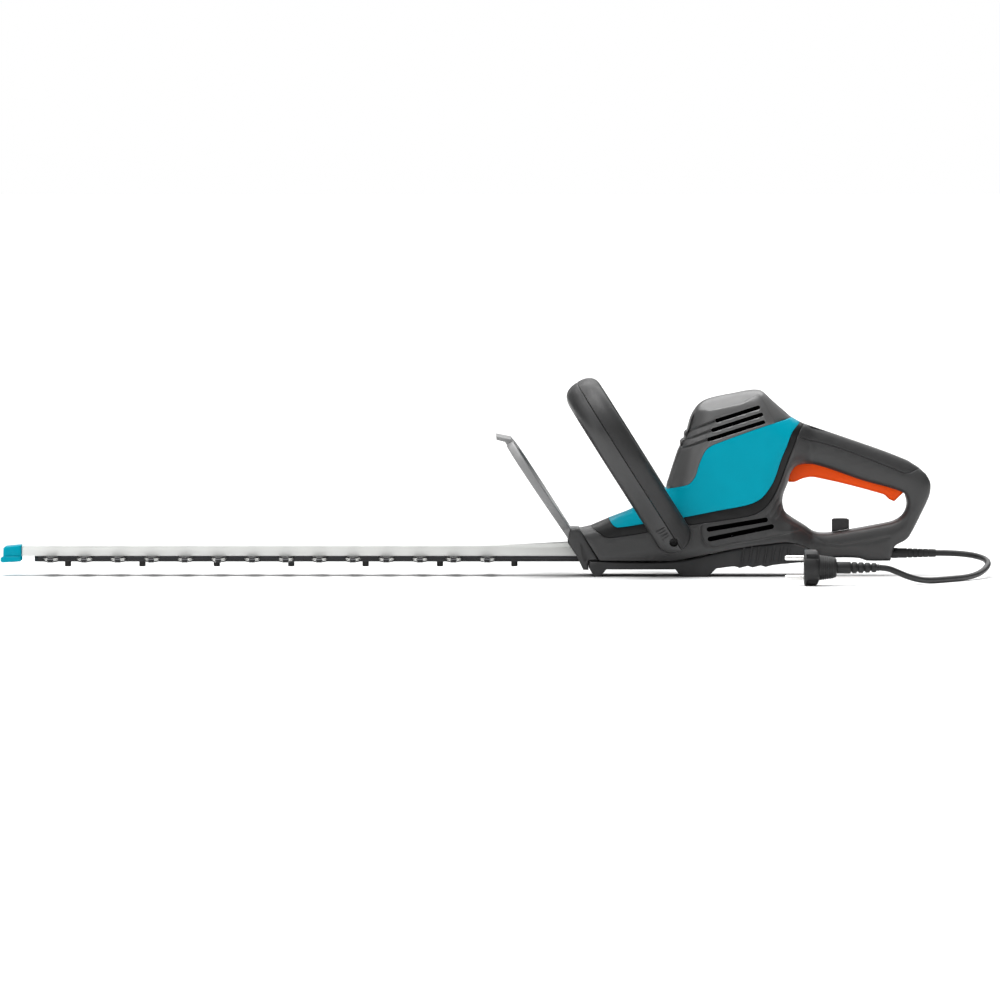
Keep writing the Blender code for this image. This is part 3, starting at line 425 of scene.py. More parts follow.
def rounded(name, loops, low, high, radius, place, step=3.0):
    """A plate between two offsets whose rims are rounded over on both faces."""
    extra = []
    for share in ROUNDING_ROWS:
        points = along_lines([loop + loop[:1] for loop in loops], (share * radius,), step)
        near = rim_distance(loops, points)
        extra += map(tuple, points[within(loops, points) & (near > 0.93 * share * radius)])
    flat, faces = filled(loops, extra)
    share = np.clip(rim_distance(loops, flat) / radius, 0, 1)
    drop = ROUNDING_DROP * radius * (1 - np.sqrt(1 - (1 - share) ** 2))
    front = [place(u, v, high - d) for (u, v), d in zip(flat, drop)]
    back = [place(u, v, low + d) for (u, v), d in zip(flat, drop)]
    return between(name, faces, front, back)


def rectangle(u_low, v_low, u_high, v_high):
    return [(u_low, v_low), (u_high, v_low), (u_high, v_high), (u_low, v_high)]


def block(name, low, high):
    return top_plate(name, [rectangle(*low[:2], *high[:2])], low[2], high[2])


def circle(radius, count):
    turn = 2 * math.pi / count
    return [(radius * math.cos(turn * i), radius * math.sin(turn * i)) for i in range(count)]


def slot_outline(x_low, x_high, half):
    """A slot with round ends, between the centres of its two ends."""
    turns = [math.pi / SLOT_STEPS * i for i in range(SLOT_STEPS + 1)]
    right = [(x_high + half * math.sin(turn), -half * math.cos(turn)) for turn in turns]
    left = [(x_low - half * math.sin(turn), half * math.cos(turn)) for turn in turns]
    return right + left


AXES = {
    "X": lambda u, v, along: (along, u, v),
    "Y": lambda u, v, along: (v, along, u),
    "Z": lambda u, v, along: (u, v, along),
}


def tube_faces(rings, count):
    """The walls and both ends of a tube whose rings have the same number of points."""
    faces = []
    for here in range(0, (rings - 1) * count, count):
        for i in range(count):
            after = (i + 1) % count
            faces.append((here + i, here + after, here + count + after, here + count + i))
    return faces + [tuple(range(count)), tuple(range((rings - 1) * count, rings * count))]


def lathe(name, profile, centre, axis="Z", count=40):
    """A solid of revolution from (radius, height) points listed along its outer side."""
    points = [AXES[axis](u, v, height) for radius, height in profile for u, v in circle(radius, count)]
    return add_piece(name, [tuple(np.add(p, centre)) for p in points], tube_faces(len(profile), count))


def shifted(line, distance):
    """An open line moved to its left by a distance."""
    moved = []
    for i, point in enumerate(line):
        before, after = line[max(i - 1, 0)], line[min(i + 1, len(line) - 1)]
        along = Vector(after) - Vector(before)
        normal = Vector((-along.y, along.x)).normalized()
        moved.append((point[0] + distance * normal.x, point[1] + distance * normal.y))
    return moved


def curved(line, closed=False, step=3.0, corner=50):
    """A polyline rounded by a curve through its points; corners sharper than the angle stay."""
    count = len(line)
    spans = count if closed else count - 1
    tangents = []
    for i in range(count):
        before = Vector(line[i - 1]) if closed or i else Vector(line[0])
        after = Vector(line[(i + 1) % count]) if closed or i < count - 1 else Vector(line[-1])
        here = Vector(line[i])
        one, two = here - before, after - here
        sharp = one.length and two.length and math.degrees(one.angle(two)) > corner
        tangents.append(None if sharp else (after - before).normalized())
    points = []
    for i in range(spans):
        a, b = Vector(line[i]), Vector(line[(i + 1) % count])
        length = (b - a).length
        start = tangents[i] or (b - a).normalized()
        end = tangents[(i + 1) % count] or (b - a).normalized()
        pieces = max(1, round(length / step))
        for j in range(pieces):
            t = j / pieces
            point = ((2 * t**3 - 3 * t**2 + 1) * a + (t**3 - 2 * t**2 + t) * length * start
                     + (3 * t**2 - 2 * t**3) * b + (t**3 - t**2) * length * end)
            points.append(tuple(point))
    return points if closed else points + [tuple(line[-1])]


# ---- housing mouldings

WIDTHS = [(102, 37), (135, 41), (190, 48), (300, 48), (325, 43), (346, 21), (465, 19.5)]  # half, along x
ROUNDINGS = [(102, 9), (150, 13), (200, 24), (320, 22), (345, 12)]  # of the housing's edge, along x
ROUNDING_SHARE = 0.45  # of the half-width
EDGE_SOFT = 1.2  # width of the softened parting edges
EDGE_SINK = 0.6  # their depth, as a share of the width
EDGE_FADE = (1.5, 3.0)  # it starts this far from the housing's edge, and is full this much further
VENT_DEPTH = 10.0
VENT_SLOT_WIDTH = 4.8
HOOD_SLOT_WIDTH = 4.0
VENT_FLOOR_Y = 37.5
VENT_CUT_Y = 60.0
PANEL_GROOVE = (1.6, 1.0)  # half-width and depth, as in the next ones
CREASE_GROOVE = (1.7, 0.6)
RIB_GROOVE = (1.3, 0.8)
RIDGE_GROOVE = (1.7, 2.2)
LEDGE = (3.4, 0.6)  # raised
LEDGE_BELOW = 2.6
CHAMFER_SLOPE = 1.15
CHAMFER_REACH = 14
REAR_SLOPE = 0.75
REAR_REACH = 20
BAND_SINK = 1.2
CHASSIS_OVERLAP = 0.6
TRIGGER_HALF = 12.5
TRIGGER_SLOT_HALF = 13.3
SPRING_POCKET = ((333.5, -4.2, 108.5), (345.5, 4.2, 120))
BODY_FINE = curved(BODY, closed=True)
HOLE_FINE = curved(HAND_HOLE, closed=True)


def edge_distance(points):
    """Distance to the edge of the housing as seen from the side."""
    return rim_distance([BODY_FINE, HOLE_FINE], points)


def groove(points, line, half, depth):
    """A rounded channel along a line, as depth at each point."""
    share = np.clip(distance_to(line, points, closed=False) / half, 0, 1)
    return depth * 0.5 * (1 + np.cos(math.pi * share))


def outer_y(points):
    """Half-width of the housing: narrow at the nose, full at the motor, slim in the rear handle."""
    width = np.interp(points[:, 0], *zip(*WIDTHS))
    radius = np.interp(points[:, 0], *zip(*ROUNDINGS))
    share = np.clip(edge_distance(points) / radius, 0, 1)
    return width - ROUNDING_SHARE * width * (1 - np.sqrt(1 - (1 - share) ** 2))


def shell_points(loops, lines, step):
    """Points where a moulding bends: at its edges, its wall, its grooves and, on a grid, its side.

    Each row says how far its points keep from the housing's edge and from the moulding's outlines.
    """
    low, high = np.min(BODY, axis=0), np.max(BODY, axis=0)
    grid = [(x + (step / 2 if row % 2 else 0), z) for row, z in enumerate(np.arange(low[1], high[1], step))
            for x in np.arange(low[0], high[0], step)]
    rims = [loop + loop[:1] for loop in loops]
    edges = [BODY_FINE + BODY_FINE[:1], HOLE_FINE + HOLE_FINE[:1]]
    rows = [(along_lines(rims, (0.3, 0.9), 3.0), 0.0, 0.25),
            (along_lines(edges, (0.6, 1.5), 3.0), 0.5, 0.8),
            (along_lines(edges, (WALL, WALL + 0.4), 3.0), WALL - 0.05, 1.4)]
    if lines:
        rows.append((along_lines(lines, (0.0, 0.8, 1.7), 2.0), 0.0, 1.3))
    rows.append((np.array(grid), 4.6, 2.2))
    kept = []
    for points, from_edge, from_rim in rows:
        fits = inside(BODY_FINE, points) & (edge_distance(points) >= from_edge) & within(loops, points)
        fits &= rim_distance(loops, points) > from_rim
        kept += map(tuple, points[fits])
    return kept


def half_shell(name, loops, side, lowered=0.0, lines=(), shape=None, vent=None, step=5.0):
    """One half of a hollow moulding, bounded by outlines seen from the side, with softened edges.

    Behind the vent outline the wall is thick, so that the slots there are dark.
    """
    flat, faces = filled(loops, shell_points(loops, lines, step))
    front = outer_y(flat) - lowered
    inner = np.clip((edge_distance(flat) - EDGE_FADE[0]) / EDGE_FADE[1], 0, 1)
    share = np.clip(rim_distance(loops, flat) / EDGE_SOFT, 0, 1)
    front -= inner * EDGE_SOFT * EDGE_SINK * (1 - np.sqrt(1 - (1 - share) ** 2))
    if shape:
        front -= shape(flat)
    at_edge = edge_distance(flat) < WALL + 0.2
    wall = np.full(len(flat), WALL)
    if vent:
        wall += VENT_DEPTH * inside(vent, flat)
    back = np.where(at_edge, SEAM, np.maximum(front - wall, SEAM))
    return between(name, faces, [(x, side * y, z) for (x, z), y in zip(flat, front)],
                   [(x, side * y, z) for (x, z), y in zip(flat, back)])


def side_slot(name, start, end, thick, side):
    """A straight cutter with round ends, through one side of the housing."""
    length = math.dist(start, end)
    turn = math.atan2(end[1] - start[1], end[0] - start[0])
    outline = [(start[0] + u * math.cos(turn) - v * math.sin(turn),
                start[1] + u * math.sin(turn) + v * math.cos(turn))
               for u, v in slot_outline(thick / 2, length - thick / 2, thick / 2)]
    return side_plate(name, [outline], side * VENT_FLOOR_Y, side * VENT_CUT_Y)


def cut_slots(shell, ends, thick, side):
    """Slots whose insides take the moulding's second material, a near-black painted shade."""
    applied(cut(shell, *[side_slot(f"{shell.name}_slot_{i}", ends[i], ends[i + 1], thick, side)
                         for i in range(0, len(ends), 2)]))
    for polygon in shell.data.polygons:
        middle = polygon.center / MM
        place = np.array([(middle.x, middle.z)])
        near = min(distance_to(ends[i:i + 2], place, closed=False)[0] for i in range(0, len(ends), 2))
        on_floor = abs(abs(middle.y) - VENT_FLOOR_Y) < 0.2
        if near < thick / 2 + 0.1 and (on_floor or abs(polygon.normal.y) < 0.4):
            polygon.material_index = 1
    return shell


def chassis(name, side):
    upper = curved(shifted(CHASSIS_EDGE, PARTING / 2)[::-1])
    under_pad = curved(shifted(PAD_EDGE, -PARTING / 2))[1:]
    rear = curved(REAR[:-1])
    bottom = curved([(x, z - CHASSIS_OVERLAP) for x, z in CHASSIS_BOTTOM[::-1]])
    outline = CHASSIS_FRONT[::-1] + upper + under_pad + rear + bottom

    def shape(points):
        lowered = groove(points, VENT_PANEL, *PANEL_GROOVE) + groove(points, CHASSIS_CREASE, *CREASE_GROOVE)
        return lowered + sum(groove(points, rib, *RIB_GROOVE) for rib in CHASSIS_RIBS)

    lines = [VENT_PANEL, CHASSIS_CREASE] + CHASSIS_RIBS
    shell = half_shell(name, [outline, HOLE_FINE], side, lines=lines, shape=shape, vent=BODY_VENT)
    cut_slots(shell, VENT_SLOTS, VENT_SLOT_WIDTH, side)
    slot = side_plate(f"{name}_trigger_slot", [TRIGGER_SLOT], -TRIGGER_SLOT_HALF, TRIGGER_SLOT_HALF)
    applied(cut(shell, slot))
    return merged(name, [shell, handle_boss(side)])


def handle_boss(side):
    """The round boss that the front handle's foot stands against."""
    profile = [(radius, side * y) for radius, y in HANDLE_BOSS]
    return lathe(f"handle_boss_{side}", profile, (BAIL_PIVOT[0], 0, BAIL_PIVOT[1]), "Y")


def hood(name, side):
    """The motor hood: a chamfered top, stepped ridges at the front and three slots."""
    outline = curved(HOOD_FRONT + HOOD_TOP[7:], corner=28)[:-1] + curved(shifted(HOOD_EDGE, -PARTING / 2))

    def shape(points):
        lowered = np.zeros(len(points))
        for ridge in HOOD_RIDGES:
            lowered += groove(points, ridge, *RIDGE_GROOVE)
            lowered -= groove(points + (0, -LEDGE_BELOW), ridge, *LEDGE)
        x, z = points.T
        top_x, top_z = HOOD_REAR_EDGE[0]
        over = np.clip(z - np.interp(x, *zip(*HOOD_CHAMFER)), 0, CHAMFER_REACH)
        behind = np.clip(x - top_x - HOOD_REAR_SLANT * (top_z - z), 0, REAR_REACH)
        return lowered + np.maximum(CHAMFER_SLOPE * over, REAR_SLOPE * behind)

    lines = HOOD_RIDGES + [HOOD_CHAMFER, HOOD_REAR_EDGE]
    shell = half_shell(name, [outline], side, lines=lines, shape=shape, vent=HOOD_VENT, step=4.0)
    return cut_slots(shell, HOOD_SLOTS, HOOD_SLOT_WIDTH, side)


def cover(name, side):
    outline = (curved(NOSE_TOP[1:]) + curved(shifted(HOOD_EDGE, PARTING / 2)[::-1])
               + curved(shifted(COVER_EDGE, -PARTING / 2))[:-1])
    return half_shell(name, [outline], side)


def band(name, side):
    lower = curved(shifted(GRIP_EDGE + CHASSIS_EDGE[1:], -PARTING / 2))
    outline = curved(shifted(COVER_EDGE, PARTING / 2)) + lower[::-1]
    return half_shell(name, [outline], side, lowered=BAND_SINK)


def grip_pad(name, side):
    outline = (curved(shifted(GRIP_EDGE, PARTING / 2)[::-1]) + curved(GRIP_TOP[1:-1])
               + curved(shifted(PAD_EDGE, PARTING / 2)[::-1])[:-1])
    return half_shell(name, [outline], side)


def undertray():
    """The bottom cover with both feet and the belly's ribs along its sides."""
    outline = curved(UNDERTRAY, closed=True, step=3.0, corner=25)
    tray = rounded("undertray_main", [outline], -UNDERTRAY_HALF, UNDERTRAY_HALF, 2.2, on_side)
    applied(cut(tray, block("undertray_pocket", *TRAY_POCKET)))
    parts = [tray]
    for i in range(BELLY_RIBS):
        run = BELLY_RIB_PITCH * i
        left, low = BELLY_RIB_X + run, BELLY_RIB_LOW + BELLY_RIB_RISE * run
        right = left + BELLY_RIB_WIDTH
        high = 24 if i >= BELLY_RIBS - 2 else 30.5
        lean = BELLY_RIB_LEAN * (high - low)
        rib = [(left, low), (right, low), (right + lean, high), (left + lean, high)]
        for side in (-1, 1):
            near, far = side * (UNDERTRAY_HALF - 1), side * (UNDERTRAY_HALF + 1)
            parts.append(rounded(f"rib_{i}_{side}", [rib], near, far, 0.6, on_side))
    return merged("visual_undertray", parts)


def cord_hook():
    outline = curved(CORD_HOOK, closed=True, corner=30, step=2.0)
    return rounded("visual_cord_hook", [outline], -7, 7, 1.2, on_side, step=1.5)


def trigger():
    """The lever, with a pocket above that the return spring sinks into."""
    outline = curved(TRIGGER, closed=True, corner=40, step=2.5)
    lever = rounded("visual_trigger", [outline], -TRIGGER_HALF, TRIGGER_HALF, 4.0, on_side, step=2.0)
    return applied(cut(lever, block("spring_pocket", *SPRING_POCKET)))


# ---- guard and front handle

GUARD_BASE = (105.3, 47.3)
GUARD_DIRECTION = (-0.550, 0.835)
GUARD_HALF = [(33, -14), (37, 0), (52, 14), (74, 34), (90, 56), (95, 76), (89, 92), (74, 101), (52, 106)]
GUARD_RIM = 4.5
GUARD_SCREWS = {-1: (108.7, -29.0, 41.0), 1: (108.7, 29.0, 41.0)}
GUARD_OPENING = ((60, -18.5, 13), (150, 18.5, 38))
COLLAR_HALF = 38.6
LIP_HALF = 50
GUARD_RIBS = (-34, -12, 12, 34)


def mirrored(half):
    return half + [(-y, along) for y, along in reversed(half)]


def on_guard(y, along, depth):
    """A point of the guard: depth is measured forwards from its rear face."""
    ux, uz = GUARD_DIRECTION
    return (GUARD_BASE[0] + along * ux - depth * uz, y, GUARD_BASE[1] + along * uz + depth * ux)


def guard():
    """The collar round the blade root with the ribbed hand guard and its lip."""
    half = curved(GUARD_HALF, step=5.0)
    inner = mirrored(shifted(half, GUARD_RIM)[3:])
    rim = rounded("guard_rim", [mirrored(half), inner], 0, 8, 1.8, on_guard, step=4.0)
    web = prism("guard_web", [mirrored(shifted(half, GUARD_RIM / 2))], 3, 5.5, on_guard)
    collar = rounded("guard_collar", [curved(COLLAR, closed=True, corner=20)], -COLLAR_HALF, COLLAR_HALF,
                     2.4, on_side)
    holes = [lathe(f"collar_hole_{side}", [(3.7, 2.9), (3.7, 20)], place, count=24)
             for side, place in GUARD_SCREWS.items()]
    notches = [side_plate(f"guard_notch_{side}", [NOTCH], side * 36, side * 45) for side in (-1, 1)]
    applied(cut(collar, block("guard_opening", *GUARD_OPENING), *holes, *notches))
    for face in collar.data.polygons:
        face.material_index = 1
    applied(cut(rim, block("rim_opening", *GUARD_OPENING)))
    lip = rounded("guard_lip", [curved(GUARD_LIP, closed=True, corner=30, step=2.0)], -LIP_HALF, LIP_HALF,
                  1.6, on_side)
    ribs = []
    for y in GUARD_RIBS:
        ribs.append(rounded(f"guard_rib_{y}", [rectangle(y - 1, -4, y + 1, 104)], 2, 6.6, 0.5, on_guard))
    return merged("visual_guard", [rim, web, collar, lip] + ribs)


def guard_screw(name, side):
    profile = [(1.8, 0), (1.8, 3.2), (3.2, 3.2), (3.4, 3.5), (3.4, 5.5), (2.9, 6), (1.7, 6), (1.6, 4.6),
               (0.3, 4.5)]
    return lathe(name, profile, GUARD_SCREWS[side], count=24)


def on_bail(y, along, across):
    """A point of the front handle: along runs up its leg, across runs rearwards."""
    lean_x, lean_z = -math.sin(BAIL_LEAN), math.cos(BAIL_LEAN)
    return (BAIL_PIVOT[0] + along * lean_x + across * lean_z, y,
            BAIL_PIVOT[1] + along * lean_z - across * lean_x)


def bail_path():
    """(y, along, width share) down the middle of the handle, from the left foot to the right one."""
    foot = [(BAIL_FOOT_Y, -BAIL_END * math.sin(math.radians(a)))
            for a in (88, 84, 76, 66, 55, 44, 33, 22, 11)]
    leg = [(BAIL_FOOT_Y, 0), (BAIL_FOOT_Y + 1, 14), (BAIL_FOOT_Y + 6, 30), (BAIL_FOOT_Y + 18, 50),
           (BAIL_FOOT_Y + 31, 70), (BAIL_REACH_Y - 3, 90)]
    corner = [(BAIL_REACH_Y - BAIL_CORNER * (1 - math.cos(math.radians(a))),
               BAIL_HEIGHT - BAIL_CORNER * (1 - math.sin(math.radians(a)))) for a in range(0, 91, 15)]
    top = [(y, BAIL_HEIGHT) for y in (36, 18, 0)]
    half = foot + curved(leg + corner + top, step=4.0)
    shares = [math.sqrt(max(0.0, 1 - (min(along, 0) / BAIL_END) ** 2)) for y, along in half]
    right = [(y, along, share) for (y, along), share in zip(half, shares)]
    return [(-y, along, share) for y, along, share in right[:-1]] + right[::-1]


def bail_section():
    """Half of the handle's cross-section: a fairly flat inner side and a rounder outer side."""
    section = [(SEAM, 0.5 - BAIL_INNER), (SEAM + 0.5, -BAIL_INNER)]
    for degrees in range(-80, 81, 5):
        turn = math.radians(degrees)
        reach, squareness = (BAIL_OUTER, 2.4) if degrees > 0 else (-BAIL_INNER, 4.0)
        across = BAIL_WIDTH / 2 * math.cos(turn) ** (2 / squareness)
        section.append((across, reach * abs(math.sin(turn)) ** (2 / squareness)))
    return section + [(SEAM + 0.5, BAIL_OUTER), (SEAM, BAIL_OUTER - 0.5)]


def on_foot(across, along, y):
    return on_bail(y, along, across)


def foot_grooves():
    """Cutters for the short grooves across each foot, above its screw."""
    cutters = []
    outer = BAIL_FOOT_Y + BAIL_OUTER
    for side in (-1, 1):
        for i in range(FOOT_GROOVES):
            low = 3 + FOOT_GROOVE_PITCH * i
            outline = rectangle(-12, low, -3, low + FOOT_GROOVE_WIDTH)
            near, far = side * (outer - FOOT_GROOVE_DEPTH), side * (outer + 3)
            cutters.append(prism(f"foot_groove_{side}_{i}", [outline], near, far, on_foot))
    return cutters


def bail_half(name, facing):
    section, path = bail_section(), bail_path()
    points = []
    for i, (y, along, share) in enumerate(path):
        before, after = path[max(i - 1, 0)], path[min(i + 1, len(path) - 1)]
        tangent = Vector((after[0] - before[0], after[1] - before[1])).normalized()
        for across, offset in section:
            across = facing * (SEAM + (across - SEAM) * share)
            points.append(on_bail(y - offset * tangent.y, along + offset * tangent.x, across))
    shell = add_piece(name, points, tube_faces(len(path), len(section)))
    cut(shell, switch_recess())
    if facing < 0:
        cut(shell, *foot_grooves())
    for side in (-1, 1):
        hole = [(BAIL_HOLE_RADIUS, side * 40), (BAIL_HOLE_RADIUS, side * 80)]
        cut(shell, lathe(f"{name}_hole_{side}", hole, BAIL_SCREW, "Y", 32))
    return applied(shell)


def bail_screw(name, side):
    profile = [(2.4, 49.8), (2.4, 56), (3.7, 56), (3.9, 56.3), (3.9, 59.4), (3.5, 60), (2.1, 60),
               (1.9, 58.5), (0.3, 58.4)]
    profile = [(radius, side * y) for radius, y in profile]
    return lathe(name, profile, BAIL_SCREW, "Y", 24)


def switch_recess():
    """The cutter for the recess that the switch bar slides in."""
    top = BAIL_HEIGHT - BAIL_INNER
    return prism("switch_recess", [rectangle(-38, top - SWITCH_HEIGHT, 38, top + 5)], -7, 7, on_bail)


def switch_bar():
    """The paddle under the top of the handle, on a plinth that enters the recess."""
    top = BAIL_HEIGHT - BAIL_INNER - SWITCH_GAP
    low = top - SWITCH_HEIGHT
    outline = [(-42, low), (42, low), (46, top), (-46, top)]
    paddle = rounded("switch_paddle", [outline], -9, 9, 1.8, on_bail)
    base = rectangle(-37, top - 0.5, 37, top + SWITCH_GAP + 2)
    plinth = prism("switch_plinth", [base], -6, 6, on_bail)
    return merged("visual_switch_bar", [paddle, plinth])


# ---- blades and rail


def tooth(name, middle, side, edge_z, back_z):
    """One tooth: its flanks are ground back from the cutting edges at edge_z."""
    half = [(-TOOTH_BASE / 2, SPINE_HALF - 0.5), (-TOOTH_END / 2, TOOTH_REACH), (TOOTH_END / 2, TOOTH_REACH),
            (TOOTH_BASE / 2, SPINE_HALF - 0.5)]
    inner = [(x - math.copysign(TOOTH_GRIND, x), y - (TOOTH_GRIND if y > SPINE_HALF else 0)) for x, y in half]
    ground_z = edge_z + (TOOTH_GRIND if back_z > edge_z else -TOOTH_GRIND)
    levels = [(half, edge_z), (inner, ground_z), (inner, back_z)]
    points = [(middle + x, side * y, z) for outline, z in levels for x, y in outline]
    piece = add_piece(name, points, tube_faces(len(levels), len(half)))
    for polygon in piece.data.polygons:
        slanted = 0.2 < abs(polygon.normal.z) < 0.93
        polygon.material_index = 1 if slanted and abs(polygon.normal.x) > 0.3 else 0
    return piece


def blade(name, z_low, travel, edge_up):
    """A blade: a slotted spine, and teeth ground on both flanks towards their cutting face."""
    middle = CRANK_X - travel / 2
    back_x = middle + TAIL_REACH
    front = [(back_x - 70, SPINE_HALF), (BLADE_TIP_X + 3, SPINE_HALF), (BLADE_TIP_X, SPINE_HALF - 4)]
    spine = front + [(x, -y) for x, y in reversed(front)]
    slots = []
    for bolt in range(BOLT_COUNT):
        x = BOLT_FIRST_X + bolt * BOLT_PITCH
        slots.append(slot_outline(min(x, x - travel), max(x, x - travel), BOLT_SLOT_HALF))
    parts = [top_plate(f"{name}_spine", [spine] + slots, z_low, z_low + BLADE_THICK)]
    tail = [(back_x - 78, SPINE_HALF - 2), (back_x - 68, TAIL_HALF), (back_x - 2, TAIL_HALF),
            (back_x, TAIL_HALF - 2)]
    tail = tail + [(x, -y) for x, y in reversed(tail)]
    half_x, half_y = WINDOW_HALF
    window = rectangle(middle - half_x, -half_y, middle + half_x, half_y)
    tail_low, tail_high = z_low + TAIL_INSET, z_low + BLADE_THICK - TAIL_INSET
    parts.append(top_plate(f"{name}_tail", [tail, window], tail_low, tail_high))
    edge_z = z_low + BLADE_THICK if edge_up else z_low
    back_z = z_low if edge_up else z_low + BLADE_THICK
    for i in range(TEETH_PER_SIDE):
        for side in (-1, 1):
            x = FIRST_TOOTH_X + i * TOOTH_PITCH
            parts.append(tooth(f"{name}_tooth_{i}_{side}", x, side, edge_z, back_z))
    return merged(f"visual_{name}", parts)


def rail():
    """The channel above the blades, with shallow grooves along its sides and top and a raised root."""
    side_view = [(RAIL_FRONT_X, RAIL_Z), (RAIL_FRONT_X, RAIL_TOP), (14, RAIL_TOP), (40, RAIL_TOP + 0.7),
                 (75, RAIL_TOP + 2.2), (109, RAIL_ROOT_TOP), (RAIL_REAR_X, RAIL_ROOT_TOP),
                 (RAIL_REAR_X, RAIL_Z)]
    bar = side_plate("visual_rail", [side_view], -RAIL_HALF, RAIL_HALF)
    front, rear = RAIL_CUT_X
    cutters = [block("rail_channel", (front, -CHANNEL_HALF, RAIL_Z - 5), (160, CHANNEL_HALF, RAIL_TOP - 3))]
    for side in (-1, 1):
        y = side * (RAIL_HALF + 0.2)
        cutters.append(block(f"rail_groove_{side}", (front, y - RAIL_GROOVE_HALF, RAIL_TOP - 1.9),
                             (rear, y + RAIL_GROOVE_HALF, RAIL_TOP - 1.1)))
    for side in (-1, 1):
        y = side * RAIL_TOP_GROOVE_Y
        cutters.append(block(f"rail_top_groove_{side}", (front, y - RAIL_TOP_GROOVE_HALF, RAIL_TOP - 0.9),
                             (12, y + RAIL_TOP_GROOVE_HALF, RAIL_TOP + 1)))
    return applied(bevelled(applied(cut(bar, *cutters)), 0.5))


def blade_bolt(name, x):
    head_top, nut_low = LOWER_BLADE_Z - GAP, RAIL_Z + 0.1
    profile = [(2.6, 9), (3.25, 9.6), (3.25, head_top), (2.5, head_top), (2.5, nut_low), (5.4, nut_low),
               (5.4, nut_low + 4)]
    return lathe(name, profile, (x, 0, 0), count=24)


def tip_protector():
    """The cap over the rail's end, with a ledge round its foot and a pocket for the lower blade."""
    outline = curved(TIP_PROTECTOR, closed=True, corner=30, step=1.5)
    cap = rounded("visual_tip_protector", [outline], -17, 17, 2.2, on_side, step=1.2)
    pocket = block("tip_pocket", (TIP_X + 16.4, -15.6, 10), (TIP_X + 30, 15.6, 20.2))
    cut(cap, pocket)
    for y in (-17.2, 17.2):
        cut(cap, block(f"tip_groove_{y}", (TIP_X + 5, y - 0.8, 19.5), (TIP_X + 30, y + 0.8, 20.7)))
    return applied(cap)


# ---- cord and plug


def strain_relief():
    profile = [(4.6, 425.6), (5.2, 426.2), (5.2, 431.5), (4.9, 432), (4.9, 440)]
    for i in range(5):
        x, r = 441 + 5.2 * i, 4.8 - 0.15 * i
        profile += [(r, x), (r - 0.5, x + 0.5), (r - 0.5, x + 1.2), (r - 0.05, x + 1.7)]
    profile += [(3.9, 469), (3.5, 470.25)]
    return lathe("visual_strain_relief", profile, (0, 0, CORD_EXIT_Z), "X", 32)


def smooth_route(points, steps):
    """Points along a Catmull-Rom curve through the route."""
    route = [2 * Vector(points[0]) - Vector(points[1])] + [Vector(p) for p in points]
    route.append(2 * Vector(points[-1]) - Vector(points[-2]))
    found = []
    for a, b, c, d in zip(route, route[1:], route[2:], route[3:]):
        for i in range(steps):
            t = i / steps
            found.append(0.5 * (2 * b + (c - a) * t + (2 * a - 5 * b + 4 * c - d) * t**2
                                + (3 * b - a - 3 * c + d) * t**3))
    return found + [Vector(points[-1])]


def cord():
    curve = bpy.data.curves.new("visual_cord", "CURVE")
    curve.dimensions = "3D"
    points = smooth_route(CORD_ROUTE, 3)
    spline = curve.splines.new("POLY")
    spline.points.add(len(points) - 1)
    for point, place in zip(spline.points, points):
        point.co = (*(place * MM), 1)
    spline.use_smooth = True
    curve.bevel_depth = CORD_D / 2 * MM
    curve.bevel_resolution = 6
    curve.use_fill_caps = True
    length = sum((b - a).length for a, b in zip(points, points[1:]))
    return added("visual_cord", curve), length * MM


def plug_body():
    """A round-faced mains plug: a notched flange, then a tapering grip with fine ribs."""
    profile = [(16.2, 0), (17.2, 0.4), (17.8, 1.5), (17.8, 10.6), (17.3, 12.0), (16.2, 13.4), (13.6, 14.4),
               (12.5, 15.2)]
    for i in range(6):
        x, radius = 16 + 2.2 * i, 12.3 - 0.32 * i
        profile += [(radius, x), (radius, x + 1.3), (radius - 0.5, x + 1.5), (radius - 0.5, x + 2.0)]
    profile += [(10.0, 29.6), (9.6, 30.8), (8.6, 31.8), (8.0, 32)]
    body = lathe("visual_plug_body", profile, (PLUG_FACE_X, PLUG_Y, PLUG_Z), "X", 64)
    notches = []
    for i in range(4):
        angle = math.pi / 2 * i + 0.9
        centre = (PLUG_FACE_X, PLUG_Y + 17.6 * math.cos(angle), PLUG_Z + 17.6 * math.sin(angle))
        notches.append(lathe(f"plug_notch_{i}", [(2.6, 2.5), (2.6, 20)], centre, "X", 20))
    return applied(cut(body, *notches))


def plug_pin(name, side):
    profile = [(0.9, -19), (1.7, -18.6), (2.3, -17.4), (2.4, -16.5), (2.4, -GAP)]
    return lathe(name, profile, (PLUG_FACE_X, PLUG_Y, PLUG_Z + side * 9.5), "X", 24)


def plug_relief():
    profile = [(5.4, 32.05), (5.9, 32.6), (5.9, 44.8), (5.5, 45.6), (4.3, 46.2)]
    for i in range(4):
        x, r = 47.2 + 6.4 * i, 5.7 - 0.35 * i
        profile += [(r - 1.5, x - 0.6), (r - 0.4, x), (r, x + 0.7), (r, x + 3.6), (r - 0.4, x + 4.3),
                    (r - 1.5, x + 4.9)]
    profile += [(3.4, 73.2), (3.2, 73.75)]
    return lathe("visual_plug_relief", profile, (PLUG_FACE_X, PLUG_Y, PLUG_Z), "X", 32)


# ---- materials

GRAIN_DEPTH = 0.0003


def put(node, values):
    for name, value in values.items():
        node.inputs[name].default_value = value
    return node


